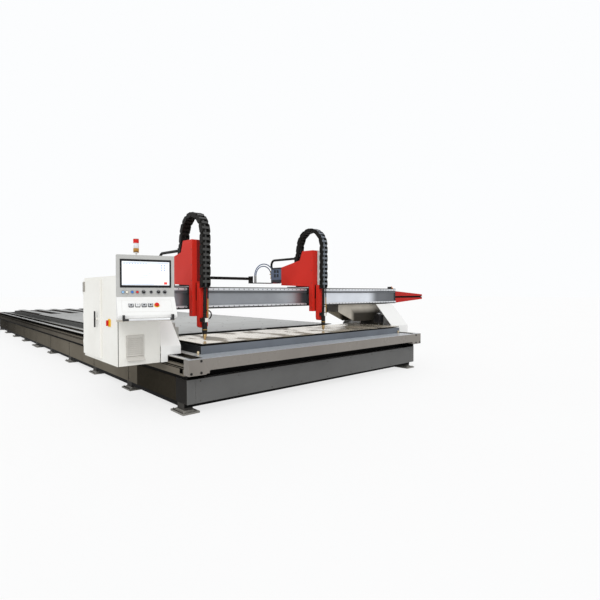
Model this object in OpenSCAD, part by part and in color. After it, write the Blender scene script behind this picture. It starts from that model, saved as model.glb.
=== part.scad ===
// Gantry plasma cutting table: a long floor-standing base with a plate bed, a bridge that runs
// along it on two rails, two torch stations on the bridge and a swivelling operator console.
// Lengths in millimetres. X runs across the table, Y along it to the rear, Z up from the floor.

/* [Base] */
// Width of the base over its side panels
base_w = 4215; // [3900:5:4600]
// Number of feet along each long side
feet_n = 10; // [9:1:11]
// Distance from foot to foot
foot_pitch = 1500; // [1350:10:1650]
// Width of a foot plate, across the table
foot_w = 200; // [180:5:240]
// Length of a foot plate, along the table
foot_l = 300; // [260:5:340]
// Thickness of a foot plate
foot_t = 20; // [14:1:26]
// Radius of the anchor holes
anchor_r = 9; // [6:0.5:11]
// Height of the panels' top edge, where the side beams start
panel_top = 370; // [340:5:400]
// Height of the panels' lower edge
panel_bottom = 110; // [80:5:140]
// Height of the side beams
side_beam_h = 160; // [140:5:180]
// Width of the side beams
side_beam_w = 200; // [180:5:220]
// Height of the front and rear channels
channel_h = 170; // [150:5:190]
// How far the front and rear channels stand out
channel_out = 115; // [100:5:140]

/* [Bed] */
// Clear strip between the left side of the base and the bed
bed_left = 263; // [240:1:320]
// Clear strip between the bed and the right side of the base
bed_right = 165; // [165:1:240]
// Distance from the front panel to the bed
bed_front = 177; // [150:1:220]
// Free length behind the bed, where the bridge parks
bed_rear = 1325; // [1200:5:1500]
// Height of the walls round the bed
bed_wall_h = 160; // [140:1:165]
// Distance between the slats
slat_pitch = 300; // [200:5:400]
// Height of a slat
slat_h = 108; // [100:1:116]
// Thickness of the deck sheets
deck_t = 10; // [6:0.5:14]
// Length of the front deck sheet
front_deck_l = 965; // [700:5:1300]
// Open strip between the front deck sheet and the grey sheets
deck_gap = 195; // [120:5:260]
// Width of the dust duct along the bed's right side
duct_w = 470; // [400:5:520]

/* [Rails] */
// Width of a guide rail
rail_w = 45; // [35:1:50]
// Height of a guide rail
rail_h = 55; // [45:1:60]
// Height of a gear rack
rack_h = 30; // [24:1:36]
// Outer radius of the drive pinions
pinion_r = 27.7; // [22:0.1:28]
// Teeth on a drive pinion
pinion_teeth = 18; // [14:1:22]

/* [Bridge] */
// Place of the bridge's centre line behind the front panel
bridge_y = 945; // [900:5:1100]
// Height of the bridge beam's underside
bridge_z = 1085; // [1070:5:1120]
// Depth of the bridge beam
bridge_d = 350; // [320:5:380]
// Height of the bridge beam
bridge_h = 280; // [260:5:300]
// How far the beam reaches past the right side of the base
bridge_right = 555; // [450:5:650]
// Length of a carriage at the rails
carriage_l = 1160; // [1100:5:1240]
// How far the right carriage cover stands out past the base
cover_out = 365; // [300:5:400]
// Length of the cable arm at the bridge's right end
arm_l = 980; // [700:10:1200]

/* [Stations] */
// Place of the first torch station across the table
station_1_x = 488; // [450:2:560]
// Place of the second torch station across the table
station_2_x = 2506; // [2400:2:2600]
// Width of a station housing
station_w = 200; // [180:2:230]
// Height of a station housing's top
station_top = 1940; // [1900:5:1980]
// Rear end of a station housing behind the bridge's centre line
station_rear = 420; // [400:5:460]
// Width of the lifter slide
slide_w = 115; // [90:1:130]
// Depth of the lifter slide
slide_d = 97; // [80:1:110]
// Height of the torch tip at rest
tip_z = 726; // [724:1:760]
// Radius of the torch body
torch_r = 31; // [24:0.5:34]
// Width of the lifter's drag chain
chain_w = 116; // [100:1:130]
// Height of a drag chain link
chain_t = 60; // [50:1:64]
// Bend radius of the lifter's drag chain
chain_bend = 265; // [255:1:275]
// Number of links in the lifter's drag chain
chain_n = 25; // [22:1:27]

/* [Console] */
// Width of the console cabinet
cabinet_w = 455; // [420:5:500]
// Length of the console cabinet, along the table
cabinet_l = 1140; // [1060:5:1200]
// Height of the console cabinet's underside
cabinet_z = 530; // [480:5:560]
// Height of the console cabinet
cabinet_h = 940; // [900:5:980]
// Width of the operator head
head_w = 562; // [520:2:580]
// Height of the screen housing
head_h = 426; // [400:2:460]
// Angle that the head is turned towards the operator
head_turn = 15; // [10:1:16]
// Side of a square key
key_w = 38; // [30:1:42]
// Distance between the keys
key_pitch = 61; // [50:1:64]
// Radius of the emergency stop's mushroom head
estop_r = 20; // [16:0.5:23]

/* [Hidden] */
$fn = 48;

// Overrun of every cut past the face it starts from
cut = 1;
// Gap at a sliding or seated fit
fit = 0.3;
// Running clearance of a pin in its bore
run_fit = 0.05;
// Sheet metal of the panels and covers
sheet = 3;
cover_t = 4;

// Feet and columns
foot_end = 12.5;
foot_out = 40;
pad_inset = 45;
pad_t = 15;
anchor_inset = 25;
column_w = 100;
column_l = 160;
skirt_lift = 25;
joint_foot = floor(feet_n / 2);
foot_x = foot_w / 2 - foot_out;
foot_ys = [for (i = [0:feet_n - 1]) foot_end + foot_l / 2 + i * foot_pitch];
base_l = 2 * foot_end + foot_l + (feet_n - 1) * foot_pitch;
joint_y = foot_ys[joint_foot];
module_ends = [0, joint_y, base_l];
foot_top = foot_t + pad_t;
function plate_l(i) = i == joint_foot ? 2 * foot_l : foot_l;

// Side beams, cross members and panels
beam_x = 5;
beam_in = beam_x + side_beam_w;
beam_wall = 8;
cross_w = 120;
rail_z = panel_top + side_beam_h;
seam = 2;
flange = 9;
corner_w = 100;
corner_l = 255;
front_flange = 20;

// Channels round the base
side_channel_out = 35;
side_channel_rise = 5;
side_channel_gap = 48;
side_channel_top = rail_z + side_channel_rise;
side_channel_bottom = panel_top + side_channel_gap;
side_channel_t = 8;
groove_h = 6;
groove_d = 4;
groove_z_shares = [0.62, 0.76];
hole_in = 20;
hole_l = 85;
hole_lift = 20;
hole_h = 53;
channel_rise = 70;
channel_top = rail_z + channel_rise;
channel_t = 8;
channel_flange = 60;
channel_step = 41;
strip_gap = 5;
channel_lug = 200;
channel_slope = 50;
lug_inset = 10;

// Rails, racks and the blocks that run on them
rail_x = 40;
rail_mid = rail_x + rail_w / 2;
rail_waist = 7;
rail_waist_shares = [0.3, 0.42, 0.58, 0.7];
rack_x = 87;
rack_w = 18;
pinion_x = rack_x + rack_w + fit + pinion_r;
block_w = 85;
block_l = 150;
block_skirt = 10;
block_h = 55;
block_z = rail_z + rail_h - block_skirt;
plate_z = block_z + block_h;
plate_t = 25;
frame_z = plate_z + plate_t;
strip_x = rail_mid - block_w / 2 - strip_gap;
track_x = pinion_x + pinion_r + strip_gap;
tooth_d_share = 0.16;
tooth_w_share = 0.5;

// Bed
bed_x0 = bed_left;
bed_x1 = base_w - bed_right;
bed_y0 = bed_front;
bed_y1 = base_l - bed_rear;
bed_wall_t = 6;
apron_seam_share = 0.51;
comb_n = 4;
comb_t = 8;
comb_h = 110;
slot_d = 40;
slat_t = 6;
slat_gap = 6;
slat_first = 150;
slat_n = floor((bed_y1 - bed_y0 - slat_first) / slat_pitch);
slat_ys = [for (i = [0:slat_n - 1]) bed_y0 + slat_first + i * slat_pitch];
slat_z = rail_z + comb_h - slot_d;
deck_z = slat_z + slat_h;
deck_inset = 12;
deck_seam_share = 0.42;
deck_n = 3;
deck_l_share = 0.665;
plank_w = 180;
plank_pitch = 457;
plank_first = 88;
duct_h = 70;
duct_x0 = bed_x1 - duct_w + deck_inset;
front_end = bed_y0 + front_deck_l;

// Bridge
bridge_left = 115;
bridge_x1 = base_w + bridge_right;
bridge_y0 = bridge_y - bridge_d / 2;
bridge_y1 = bridge_y + bridge_d / 2;
bridge_top = bridge_z + bridge_h;
bridge_wall = 12;
band_h = 55;
recess_d = 15;
guide_t = 20;
guide_h = 30;
guide_end = 15;
bridge_rack_h = 25;
guide_zs = [bridge_z + band_h / 2, bridge_top - band_h / 2];

// Carriages at the two rails
carriage_y0 = bridge_y - carriage_l / 2;
carriage_y1 = bridge_y + carriage_l / 2;
frame_out = 120;
post_in = 100;
post_d = 290;
post_wall = 12;
knee_ls = [120, 930];
knee_foot_ls = [40, 508];
knee_end_hs = [70, 122];
knee_foot_h = 300;
knee_t = 15;
cover_in = 115;
cover_low = 530;
cover_skirt = 170;
cover_gap = 5;
cover_top = bridge_z - cover_gap;
cover_top_l = 460;
cover_step_in = 40;
cover_step_rise = 76;
cover_step_z = rail_z + cover_step_rise;
motor_w = 120;
motor_lead = 305;
motor_y = bridge_y - motor_lead;
motor_lift = 15;
motor_plate_t = 15;
motor_body_h = 140;
motor_can_h = 50;
motor_can_r = 42;
motor_plate_z = deck_z + deck_t + motor_lift;
shaft_r = 12;
shaft_bore = shaft_r + run_fit;

// Cable shelf and chain behind the bridge
shelf_back = 570;
shelf_y = bridge_y1 + shelf_back;
shelf_w = 120;
shelf_lip = 40;
shelf_t = 5;
shelf_lift = 205;
shelf_z = bridge_z + shelf_lift;
shelf_x0 = 560;
shelf_end = 615;
shelf_x1 = base_w - shelf_end;
shelf_arms = 4;
shelf_arm_w = 60;
bridge_chain_w = 100;
bridge_chain_t = 42;
bridge_chain_bend = 102;
bridge_chain_n = 44;
bridge_chain_x0 = 760;
bridge_chain_lower = 1500;
chain_lug_reach = 450;
bridge_chain_x1 = station_2_x - chain_lug_reach - bridge_chain_t / 2 - fit;

// Cable arm
arm_y_inset = 30;
arm_t = 14;
arm_top_drop = 45;
arm_bottom_rise = 4;
arm_tip_h_share = 0.42;
arm_slot_share = 0.09;
arm_web_inset = 25;

// Torch stations
station_xs = [station_1_x, station_2_x];
saddle_gap = 80;
saddle_t = 22;
saddle_inset = 5;
post_back = bridge_y0 - saddle_gap;
post_depth = 78;
post_front = post_back - post_depth;
post_drop = 80;
post_low = bridge_z - post_drop;
housing_gap = 20;
housing_z = bridge_top + housing_gap;
housing_wall = 4;
cap_l = 238;
kink_l = 293;
kink_y = post_front + kink_l;
kink_drop = 140;
rear_drop = 233;
rear_rise = 25;
housing_y1 = bridge_y + station_rear;
station_block_l = 90;
station_block_h = 50;
station_block_gap = 2;
saddle_top_t = 12;
x_motor_w = 120;
x_motor_l = 200;
x_motor_h = 110;
box_l = 282;
box_w = 190;
box_lift = 69;
box_h = 256;
window_w = 52;
window_d = 4;
window_pitch = 72;
window_lift_share = 0.6;
function slope_z(y) = station_top - kink_drop
    - (rear_drop - kink_drop) * (y - kink_y) / (housing_y1 - kink_y);

// Lifter, torch and drag chain
slide_front = post_front - fit - slide_d;
slide_drop = 215;
slide_rise = 23;
slide_low = bridge_z - slide_drop;
slide_top = housing_z + slide_rise;
slide_round = 25;
tail_d = 30;
tail_inset = 22;
torch_x = -14.5;
torch_gap = 18;
torch_y = slide_front - torch_gap - torch_r;
torch_top_drop = 45;
torch_top = bridge_z - torch_top_drop;
torch_clamp_w = 76;
torch_clamp_h = 47;
torch_clamp_wrap = 6;
torch_clamp_drop = 145;
torch_clamp_z = bridge_z - torch_clamp_drop;
// Heights of the torch's rings above its tip, and their radii, as shares of its length and radius
torch_z_shares = [0, 0.05, 0.05, 0.12, 0.12, 0.22, 0.22, 0.385, 0.385, 0.4, 0.4, 0.86, 0.86, 1];
torch_r_shares = [0.3, 0.45, 0.6, 0.68, 0.74, 0.8, 1, 1, 1.04, 1.04, 1, 1, 0.66, 0.66];
chain_gap = 10;
chain_y = slide_front - chain_gap - chain_t / 2;
chain_rise = 10;
chain_low = housing_z + chain_rise;
chain_lean = 10;
chain_over = 320;
chain_rear_drop = 110;
chain_apex = station_top + chain_over;
chain_rear_z = station_top - chain_rear_drop;
link_wall = 9.8;
link_gap = 0.2;
link_bar_w = 30;
link_bar_t = 8;
shelf_plate_t = 12;
cable_n = 3;
cable_w = 22;
cable_t = 30;
cable_pitch = 24.5;
cable_steps = 24;
lead_r = 20;
lead_x = -3;
lead_gap = 0.9;
gas_r = 4.5;
gas_pitch = 11;
gas_out = 31.5;
gas_x = 19;
hose_r = 8;
hose_bend = 52;
hose_lift = 85;

// Rear loom of a station
conduit_r = 19;
conduit_bend = 85;
conduit_drop = 95;
conduit_z = station_top - conduit_drop;
conduit_stub = 23;
gland_r = 25;
gland_l = 18;
connector_r = 17;
connector_l = 38;
connector_n = 3;
elbow_r = 12;
elbow_l = 36;
loop_r = 8;
loop_in = 50;
loop_pitch = 25;
bracket_l = 67;
bracket_t = 10;
bracket_h = 105;

// Console cabinet
cabinet_x0 = -frame_out - cabinet_w;
cabinet_x1 = -frame_out;
cabinet_shift = 5;
cabinet_y0 = bridge_y + cabinet_shift - cabinet_l / 2;
cabinet_y1 = cabinet_y0 + cabinet_l;
cabinet_top = cabinet_z + cabinet_h;
cabinet_wall = 4;
door_rim = 34;
door_lead = 80;
door_end = 25;
door_y0 = bridge_y - door_lead;
door_y1 = cabinet_y1 - door_end;
door_t = 20;
door_lap = 12;
hinge_r = 10;
hinge_pin_r = 5;
hinge_h = 40;
hinge_n = 3;
hinge_out = 10;
hinge_gap = 13;
handle_l = 158;
handle_w = 22;
handle_t = 12;
handle_r = 15;
handle_boss = 20;
handle_in = 100;
handle_lift = 467;
handle_z = cabinet_z + handle_lift;
isolator_r = 30;
isolator_t = 12;
isolator_bar_w = 16;
isolator_bar_t = 22;
isolator_in = 234;
isolator_lift = 441;
isolator_y = cabinet_y0 + isolator_in;
isolator_z = cabinet_z + isolator_lift;
grille_w = 187;
grille_h = 216;
grille_t = 12;
grille_rim = 16;
grille_bars = 9;
grille_in = 87;
grille_lift = 100;
grille_x = cabinet_x0 + grille_in;
grille_z = cabinet_z + grille_lift;
hood_out = 40;
hood_drop = 45;
light_in = 58;
light_lead = 45;
light_x = cabinet_x1 - light_in;
light_y = bridge_y - light_lead;
light_r = 30;
light_pole_r = 10;
light_pole_h = 275;
light_foot_h = 12;
light_ring = 6;
lens_h = 48;
lens_n = 3;

// Operator head, in its own frame on the swivel axis
head_in = 255;
head_lead = 86;
head_drop = 220;
head_x = cabinet_x0 + head_in;
head_y = cabinet_y0 - head_lead;
head_z = cabinet_top - head_drop;
head_front = 100;
head_back = 32;
swivel_r = 30;
swivel_pin_r = 12;
swivel_lug_t = 18;
swivel_h = 80;
swivel_lift = 90;
swivel_z = head_z + swivel_lift;
screen_w = 496;
screen_h = 287;
screen_t = 4;
screen_drop = 44;
keypad_out = 155;
keypad_drop = 180;
keypad_lip = 25;
keypad_low = 250;
keypad_heel = 45;
keypad_angle = atan2(keypad_out, keypad_drop);
key_x = -152;
key_down = 112;
key_up = 12;
key_under = 5;
key_depth = 10;
estop_x = key_x + 4 * key_pitch;
estop_stem_r = 11;
estop_up = 20;
estop_cap_t = 12;
lamp_xs = [-221, -184, -134, -86];
lock_x = 48;
lamp_r = 12;
lamp_up = 14;
dial_x = -25;
selector_xs = [120, 183];
knob_r = 14;
knob_up = 18;
knob_bar_w = 8;
knob_bar_up = 6;
row_lift = 50;
rail_bar_r = 11;
rail_out = 50;
rail_span = 440;
rail_arm_w = 20;
rail_arm_h = 58;
rail_arm_drop = 40;
rail_reach = head_front + keypad_out + rail_out + rail_bar_r;

// The origin lies on the floor, in the middle of the outline seen from above
head_left = head_x - head_w / 2 * cos(head_turn) - rail_reach * sin(head_turn);
mid_x = (bridge_x1 + arm_l + head_left) / 2;
mid_y = base_l / 2;

// A box between two opposite corners
module span(a, b) {
    translate(a) cube(b - a);
}

// From the front left corner of the base to the origin of the part
module from_corner() {
    translate([-mid_x, -mid_y, 0]) children();
}

// A left-hand piece and its mirror image at the right side of the base
module both_sides() {
    children();
    translate([base_w, 0, 0]) mirror([1, 0, 0]) children();
}

// A front piece and its mirror image at the rear end of the base
module both_ends() {
    children();
    translate([0, base_l, 0]) mirror([0, 1, 0]) children();
}

// An outline in Y and Z drawn out along X
module along_x(x0, x1) {
    translate([x0, 0, 0]) rotate([90, 0, 90]) linear_extrude(x1 - x0) children();
}

// An outline in X and Z drawn out along Y
module along_y(y0, y1) {
    translate([0, y1, 0]) rotate([90, 0, 0]) linear_extrude(y1 - y0) children();
}

// A round bar from one point to another
module rod(p, q, r) {
    d = q - p;
    translate(p) rotate([0, acos(d.z / norm(d)), atan2(d.y, d.x)]) cylinder(r = r, h = norm(d));
}

// Foot: base plate with its anchor holes and the pad that the column stands on
module foot_plate(l) {
    difference() {
        union() {
            span([-foot_w / 2, -l / 2, 0], [foot_w / 2, l / 2, foot_t]);
            span([pad_inset - foot_w / 2, pad_inset - l / 2, foot_t],
                [foot_w / 2 - pad_inset, l / 2 - pad_inset, foot_top]);
        }
        for (sx = [-1, 1], sy = [-1, 1])
            translate([sx * (foot_w / 2 - anchor_inset), sy * (l / 2 - anchor_inset), -cut])
                cylinder(r = anchor_r, h = foot_t + 2 * cut);
    }
}

module foot_plates() {
    color("dimgray") from_corner() both_sides()
        for (i = [0:feet_n - 1]) translate([foot_x, foot_ys[i], 0]) foot_plate(plate_l(i));
}

// Columns on the feet, with dark skirting plates between them, just behind the panels
module leg_columns() {
    column_x = foot_x - column_w / 2;
    skirt_y = foot_ys[0] - column_l / 2 - fit;
    skirt_low = foot_top + skirt_lift;
    skirt_top = panel_top - flange;
    color([0.12, 0.12, 0.12]) from_corner() {
        both_sides() {
            for (y = foot_ys)
                translate([column_x, y - column_l / 2, foot_top])
                    cube([column_w, column_l, panel_top - foot_top]);
            for (i = [0:feet_n - 2])
                span([column_x, foot_ys[i] + column_l / 2 + fit, skirt_low],
                    [column_x + sheet, foot_ys[i + 1] - column_l / 2 - fit, skirt_top]);
        }
        both_ends()
            span([column_x, skirt_y - sheet, skirt_low], [base_w - column_x, skirt_y, skirt_top]);
    }
}

// Box beams along both sides, in two modules joined at the double foot
module side_beams() {
    color([0.16, 0.16, 0.16]) from_corner() both_sides()
        for (m = [0, 1]) difference() {
            span([beam_x, module_ends[m], panel_top], [beam_in, module_ends[m + 1], rail_z]);
            span([beam_x + beam_wall, module_ends[m] - cut, panel_top + beam_wall],
                [beam_in - beam_wall, module_ends[m + 1] + cut, rail_z - beam_wall]);
        }
}

// Box beams from side to side over each pair of feet
module cross_members() {
    color([0.2, 0.2, 0.2]) from_corner()
        for (y = foot_ys) difference() {
            span([beam_in, y - cross_w / 2, panel_top], [base_w - beam_in, y + cross_w / 2, rail_z]);
            span([beam_in - cut, y - cross_w / 2 + beam_wall, panel_top + beam_wall],
                [base_w - beam_in + cut, y + cross_w / 2 - beam_wall, rail_z - beam_wall]);
        }
}

// A sheet panel along the left side with its top edge folded under the side beam
module side_sheet(y0, y1) {
    span([0, y0, panel_bottom], [sheet, y1, panel_top]);
    span([0, y0, panel_top - sheet], [flange, y1, panel_top]);
}

// Side panels, with a seam at every leg
module side_panels() {
    color([0.37, 0.35, 0.31]) from_corner() both_sides()
        for (i = [0:feet_n - 2])
            side_sheet(i == 0 ? corner_l + seam : foot_ys[i] + seam / 2,
                i == feet_n - 2 ? base_l - corner_l - seam : foot_ys[i + 1] - seam / 2);
}

// Front and rear panels, with the folded corner covers beside them
module end_panels() {
    lap = foot_ys[0] - cross_w / 2 + front_flange;
    color([0.3, 0.3, 0.31]) from_corner() both_ends() {
        span([corner_w + seam, 0, panel_bottom], [base_w - corner_w - seam, sheet, panel_top]);
        span([beam_in, 0, panel_top - sheet], [base_w - beam_in, lap, panel_top]);
        both_sides() {
            span([0, 0, panel_bottom], [corner_w, sheet, panel_top]);
            side_sheet(0, corner_l);
        }
    }
}

// Face of an end channel: deep lugs at both ends and a shallower middle
module channel_face() {
    left = -side_channel_out;
    low = channel_top - channel_h;
    step = left + channel_lug;
    polygon([
        [left, channel_top], [base_w - left, channel_top], [base_w - left, low], [base_w - step, low],
        [base_w - step - channel_slope, low + channel_step], [step + channel_slope, low + channel_step],
        [step, low], [left, low]
    ]);
}

// Channels across the front and the rear, bolted to the ends of the side beams
module end_channels() {
    low = channel_top - channel_h;
    step = channel_lug + channel_slope;
    back = channel_flange - channel_out;
    color([0.5, 0.49, 0.47]) from_corner() both_ends() {
        along_y(-channel_out, channel_t - channel_out) channel_face();
        span([-side_channel_out, -channel_out, channel_top - channel_t],
            [base_w + side_channel_out, back, channel_top]);
        span([step, -channel_out, low + channel_step],
            [base_w - step, back, low + channel_step + channel_t]);
        span([track_x, back, channel_top - channel_t],
            [base_w - track_x, bed_y0 - fit, channel_top]);
        span([beam_in, foot_ys[0] - cross_w / 2, rail_z],
            [base_w - beam_in, foot_ys[0] - cross_w / 2 + channel_t, channel_top - channel_t]);
        both_sides() {
            span([beam_x, -channel_out, low + lug_inset], [beam_in, 0, rail_z - lug_inset]);
            span([-side_channel_out, -channel_out, low], [channel_t - side_channel_out, 0, channel_top]);
            span([-side_channel_out, back, channel_top - channel_t], [strip_x, 0, channel_top]);
        }
    }
}

// Channel along a side, open towards the side beam
module channel_section() {
    t = side_channel_t;
    out = side_channel_out;
    polygon([
        [-out, side_channel_bottom], [beam_x, side_channel_bottom], [beam_x, side_channel_bottom + t],
        [t - out, side_channel_bottom + t], [t - out, side_channel_top - t],
        [beam_x, side_channel_top - t], [beam_x, side_channel_top], [-out, side_channel_top]
    ]);
}

// Edge strip over that channel, outside the rail, on a leg that stands on the side beam
module strip_section() {
    t = side_channel_t;
    polygon([
        [strip_x - t, rail_z], [strip_x, rail_z], [strip_x, channel_top], [-side_channel_out, channel_top],
        [-side_channel_out, channel_top - t], [strip_x - t, channel_top - t]
    ]);
}

// Track plate between the left rack and the bed, on its own leg
module track_section() {
    t = side_channel_t;
    polygon([
        [beam_in - t, rail_z], [beam_in, rail_z], [beam_in, channel_top - t],
        [bed_x0 - fit, channel_top - t], [bed_x0 - fit, channel_top], [track_x, channel_top],
        [track_x, channel_top - t], [beam_in - t, channel_top - t]
    ]);
}

// Channels and strips along both long sides: two grooves, and a hand hole at each end of the base
module side_channels() {
    h = side_channel_top - side_channel_bottom;
    z = side_channel_bottom + hole_lift;
    track_ends = [bed_y0, joint_y, base_l - bed_y0];
    color([0.48, 0.46, 0.43]) from_corner() {
        both_sides() for (m = [0, 1]) {
            difference() {
                along_y(module_ends[m], module_ends[m + 1]) channel_section();
                for (s = groove_z_shares)
                    span([-side_channel_out - cut, module_ends[m] - cut, side_channel_bottom + s * h],
                        [groove_d - side_channel_out, module_ends[m + 1] + cut,
                            side_channel_bottom + s * h + groove_h]);
                both_ends() span([-side_channel_out - cut, hole_in, z], [0, hole_in + hole_l, z + hole_h]);
            }
            along_y(module_ends[m], module_ends[m + 1]) strip_section();
        }
        for (m = [0, 1]) along_y(track_ends[m], track_ends[m + 1]) track_section();
    }
}

// Profile guide rails with a waisted section, one on each side beam
module guide_rails() {
    s = rail_waist_shares;
    right = rail_x + rail_w;
    color([0.7, 0.7, 0.72]) from_corner() both_sides() along_y(0, base_l)
        polygon([
            [rail_x, rail_z], [right, rail_z], [right, rail_z + s[0] * rail_h],
            [right - rail_waist, rail_z + s[1] * rail_h], [right - rail_waist, rail_z + s[2] * rail_h],
            [right, rail_z + s[3] * rail_h], [right, rail_z + rail_h], [rail_x, rail_z + rail_h],
            [rail_x, rail_z + s[3] * rail_h], [rail_x + rail_waist, rail_z + s[2] * rail_h],
            [rail_x + rail_waist, rail_z + s[1] * rail_h], [rail_x, rail_z + s[0] * rail_h]
        ]);
}

// Rack bars beside the guide rails
module gear_racks() {
    color([0.45, 0.45, 0.46]) from_corner() both_sides()
        span([rack_x, 0, rail_z], [rack_x + rack_w, base_l, rail_z + rack_h]);
}

// Toothed upper edge of a comb bar, with one slot for each slat
module comb_outline() {
    low = slat_z;
    top = rail_z + comb_h;
    half = slat_t / 2 + fit;
    start = bed_y0 + bed_wall_t + fit;
    end = bed_y1 - bed_wall_t - fit;
    polygon(concat(
        [[end, rail_z], [start, rail_z], [start, top]],
        [for (y = slat_ys, p = [[-half, top], [-half, low], [half, low], [half, top]]) [y + p.x, p.y]],
        [[end, top]]
    ));
}

// Sheet duct beside the bed, from the front deck to the rear wall
module dust_duct() {
    x = duct_x0 + bed_wall_t + fit;
    y0 = front_end + fit;
    y1 = bed_y1 - bed_wall_t - fit;
    difference() {
        span([x, y0, rail_z], [bed_x1, y1, rail_z + duct_h]);
        span([x + cover_t, y0 - cut, rail_z + cover_t],
            [bed_x1 - cover_t, y1 + cut, rail_z + duct_h - cover_t]);
    }
}

// Walls round the bed, the front one in two lengths, the duct and the comb bars that hold the slats
module bed_walls() {
    seam_x = bed_x0 + apron_seam_share * (bed_x1 - bed_x0);
    top = rail_z + bed_wall_h;
    pitch = (bed_x1 - bed_x0) / (comb_n + 1);
    color([0.42, 0.44, 0.47]) from_corner() {
        span([bed_x0, bed_y0, rail_z], [seam_x, bed_y0 + bed_wall_t, top]);
        span([seam_x + seam, bed_y0, rail_z], [bed_x1, bed_y0 + bed_wall_t, top]);
        span([bed_x0, bed_y0 + bed_wall_t + fit, rail_z],
            [bed_x0 + bed_wall_t, bed_y1 - bed_wall_t - fit, top]);
        span([bed_x1 - bed_wall_t, bed_y0 + bed_wall_t + fit, rail_z], [bed_x1, front_end, top]);
        span([duct_x0, front_end - bed_wall_t, rail_z], [bed_x1 - bed_wall_t, front_end, top]);
        span([duct_x0, front_end + fit, rail_z], [duct_x0 + bed_wall_t, bed_y1 - bed_wall_t - fit, top]);
        span([bed_x0, bed_y1 - bed_wall_t, rail_z], [bed_x1, bed_y1, top]);
        dust_duct();
        for (i = [1:comb_n])
            along_x(bed_x0 + i * pitch - comb_t / 2, bed_x0 + i * pitch + comb_t / 2) comb_outline();
    }
}

// Slats standing on edge in the combs, full width under the front deck and up to the duct behind it
module slats() {
    color([0.3, 0.28, 0.26]) from_corner()
        for (y = slat_ys)
            let (x1 = y < front_end - bed_wall_t - slat_t ? bed_x1 - bed_wall_t : duct_x0)
                span([bed_x0 + bed_wall_t + slat_gap, y - slat_t / 2, slat_z],
                    [x1 - slat_gap, y + slat_t / 2, deck_z]);
}

// Bright sheet over the front of the bed, in two widths
module front_deck() {
    x0 = bed_x0 + deck_inset;
    x1 = bed_x1 - deck_inset;
    seam_x = x0 + deck_seam_share * (x1 - x0);
    color([0.86, 0.84, 0.8]) from_corner() {
        span([x0, bed_y0, deck_z], [seam_x, front_end, deck_z + deck_t]);
        span([seam_x + seam, bed_y0, deck_z], [x1, front_end, deck_z + deck_t]);
    }
}

// Grey sheets over the bed behind an open strip, and narrow planks from them to the rear wall
module deck_sheets() {
    x0 = bed_x0 + deck_inset;
    x1 = bed_x1 - duct_w;
    y0 = front_end + deck_gap;
    y1 = bed_y1 - bed_wall_t - seam;
    l = deck_l_share * (y1 - y0) / deck_n;
    color([0.7, 0.7, 0.69]) from_corner() {
        for (i = [0:deck_n - 1])
            span([x0, y0 + i * l, deck_z], [x1, y0 + (i + 1) * l - seam, deck_z + deck_t]);
        for (x = [x0 + plank_first : plank_pitch : x1 - plank_w])
            span([x, y0 + deck_n * l, deck_z], [x + plank_w, y1, deck_z + deck_t]);
    }
}

// Bridge beam: box section with a recessed front band, closed by end plates
module bridge_beam() {
    x0 = -bridge_left;
    color([0.62, 0.63, 0.65]) from_corner() difference() {
        span([x0, bridge_y0, bridge_z], [bridge_x1, bridge_y1, bridge_top]);
        span([x0 + bridge_wall, bridge_y0 - cut, bridge_z + band_h],
            [bridge_x1 - bridge_wall, bridge_y0 + recess_d, bridge_top - band_h]);
        span([x0 + bridge_wall, bridge_y0 + recess_d + bridge_wall, bridge_z + bridge_wall],
            [bridge_x1 - bridge_wall, bridge_y1 - bridge_wall, bridge_top - bridge_wall]);
    }
}

// Two guide strips on the front of the bridge and the rack bar at the top of its recess
module bridge_guides() {
    x0 = guide_end - bridge_left;
    x1 = bridge_x1 - guide_end;
    rack_top = bridge_top - band_h;
    color([0.85, 0.86, 0.87]) from_corner() {
        for (z = guide_zs)
            span([x0, bridge_y0 - guide_t, z - guide_h / 2], [x1, bridge_y0, z + guide_h / 2]);
        span([x0, bridge_y0 + recess_d - guide_t, rack_top - bridge_rack_h],
            [x1, bridge_y0 + recess_d, rack_top]);
    }
}

// Cable shelf on arms behind the bridge
module cable_shelf() {
    pitch = (shelf_x1 - shelf_x0 - shelf_arm_w) / (shelf_arms - 1);
    color([0.25, 0.25, 0.26]) from_corner() {
        span([shelf_x0, shelf_y, shelf_z], [shelf_x1, shelf_y + shelf_w, shelf_z + shelf_t]);
        for (y = [shelf_y, shelf_y + shelf_w - shelf_t])
            span([shelf_x0, y, shelf_z], [shelf_x1, y + shelf_t, shelf_z + shelf_lip]);
        for (i = [0:shelf_arms - 1])
            translate([shelf_x0 + i * pitch, bridge_y1, shelf_z - 2 * shelf_t])
                cube([shelf_arm_w, shelf_y + shelf_w - bridge_y1, 2 * shelf_t]);
    }
}

// One link of a drag chain from point a to point b of its run, in the run's own plane.
// Links alternate between an outer and an inner pair of side plates.
module chain_link(a, b, w, t, outer) {
    d = b - a;
    l = norm(d);
    x1 = outer ? w / 2 : w / 2 - link_wall - link_gap;
    translate([0, a.x, a.y]) rotate([atan2(d.y, d.x), 0, 0]) {
        for (s = [-1, 1])
            translate([s * (x1 - link_wall / 2), 0, 0]) along_x(-link_wall / 2, link_wall / 2) {
                circle(r = t / 2);
                translate([l, 0]) circle(r = t / 2);
                translate([0, -t / 2]) square([l, t]);
            }
        for (z = [-t / 2, t / 2 - link_bar_t])
            span([link_wall / 2 - x1, (l - link_bar_w) / 2, z],
                [x1 - link_wall / 2, (l + link_bar_w) / 2, z + link_bar_t]);
    }
}

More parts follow.
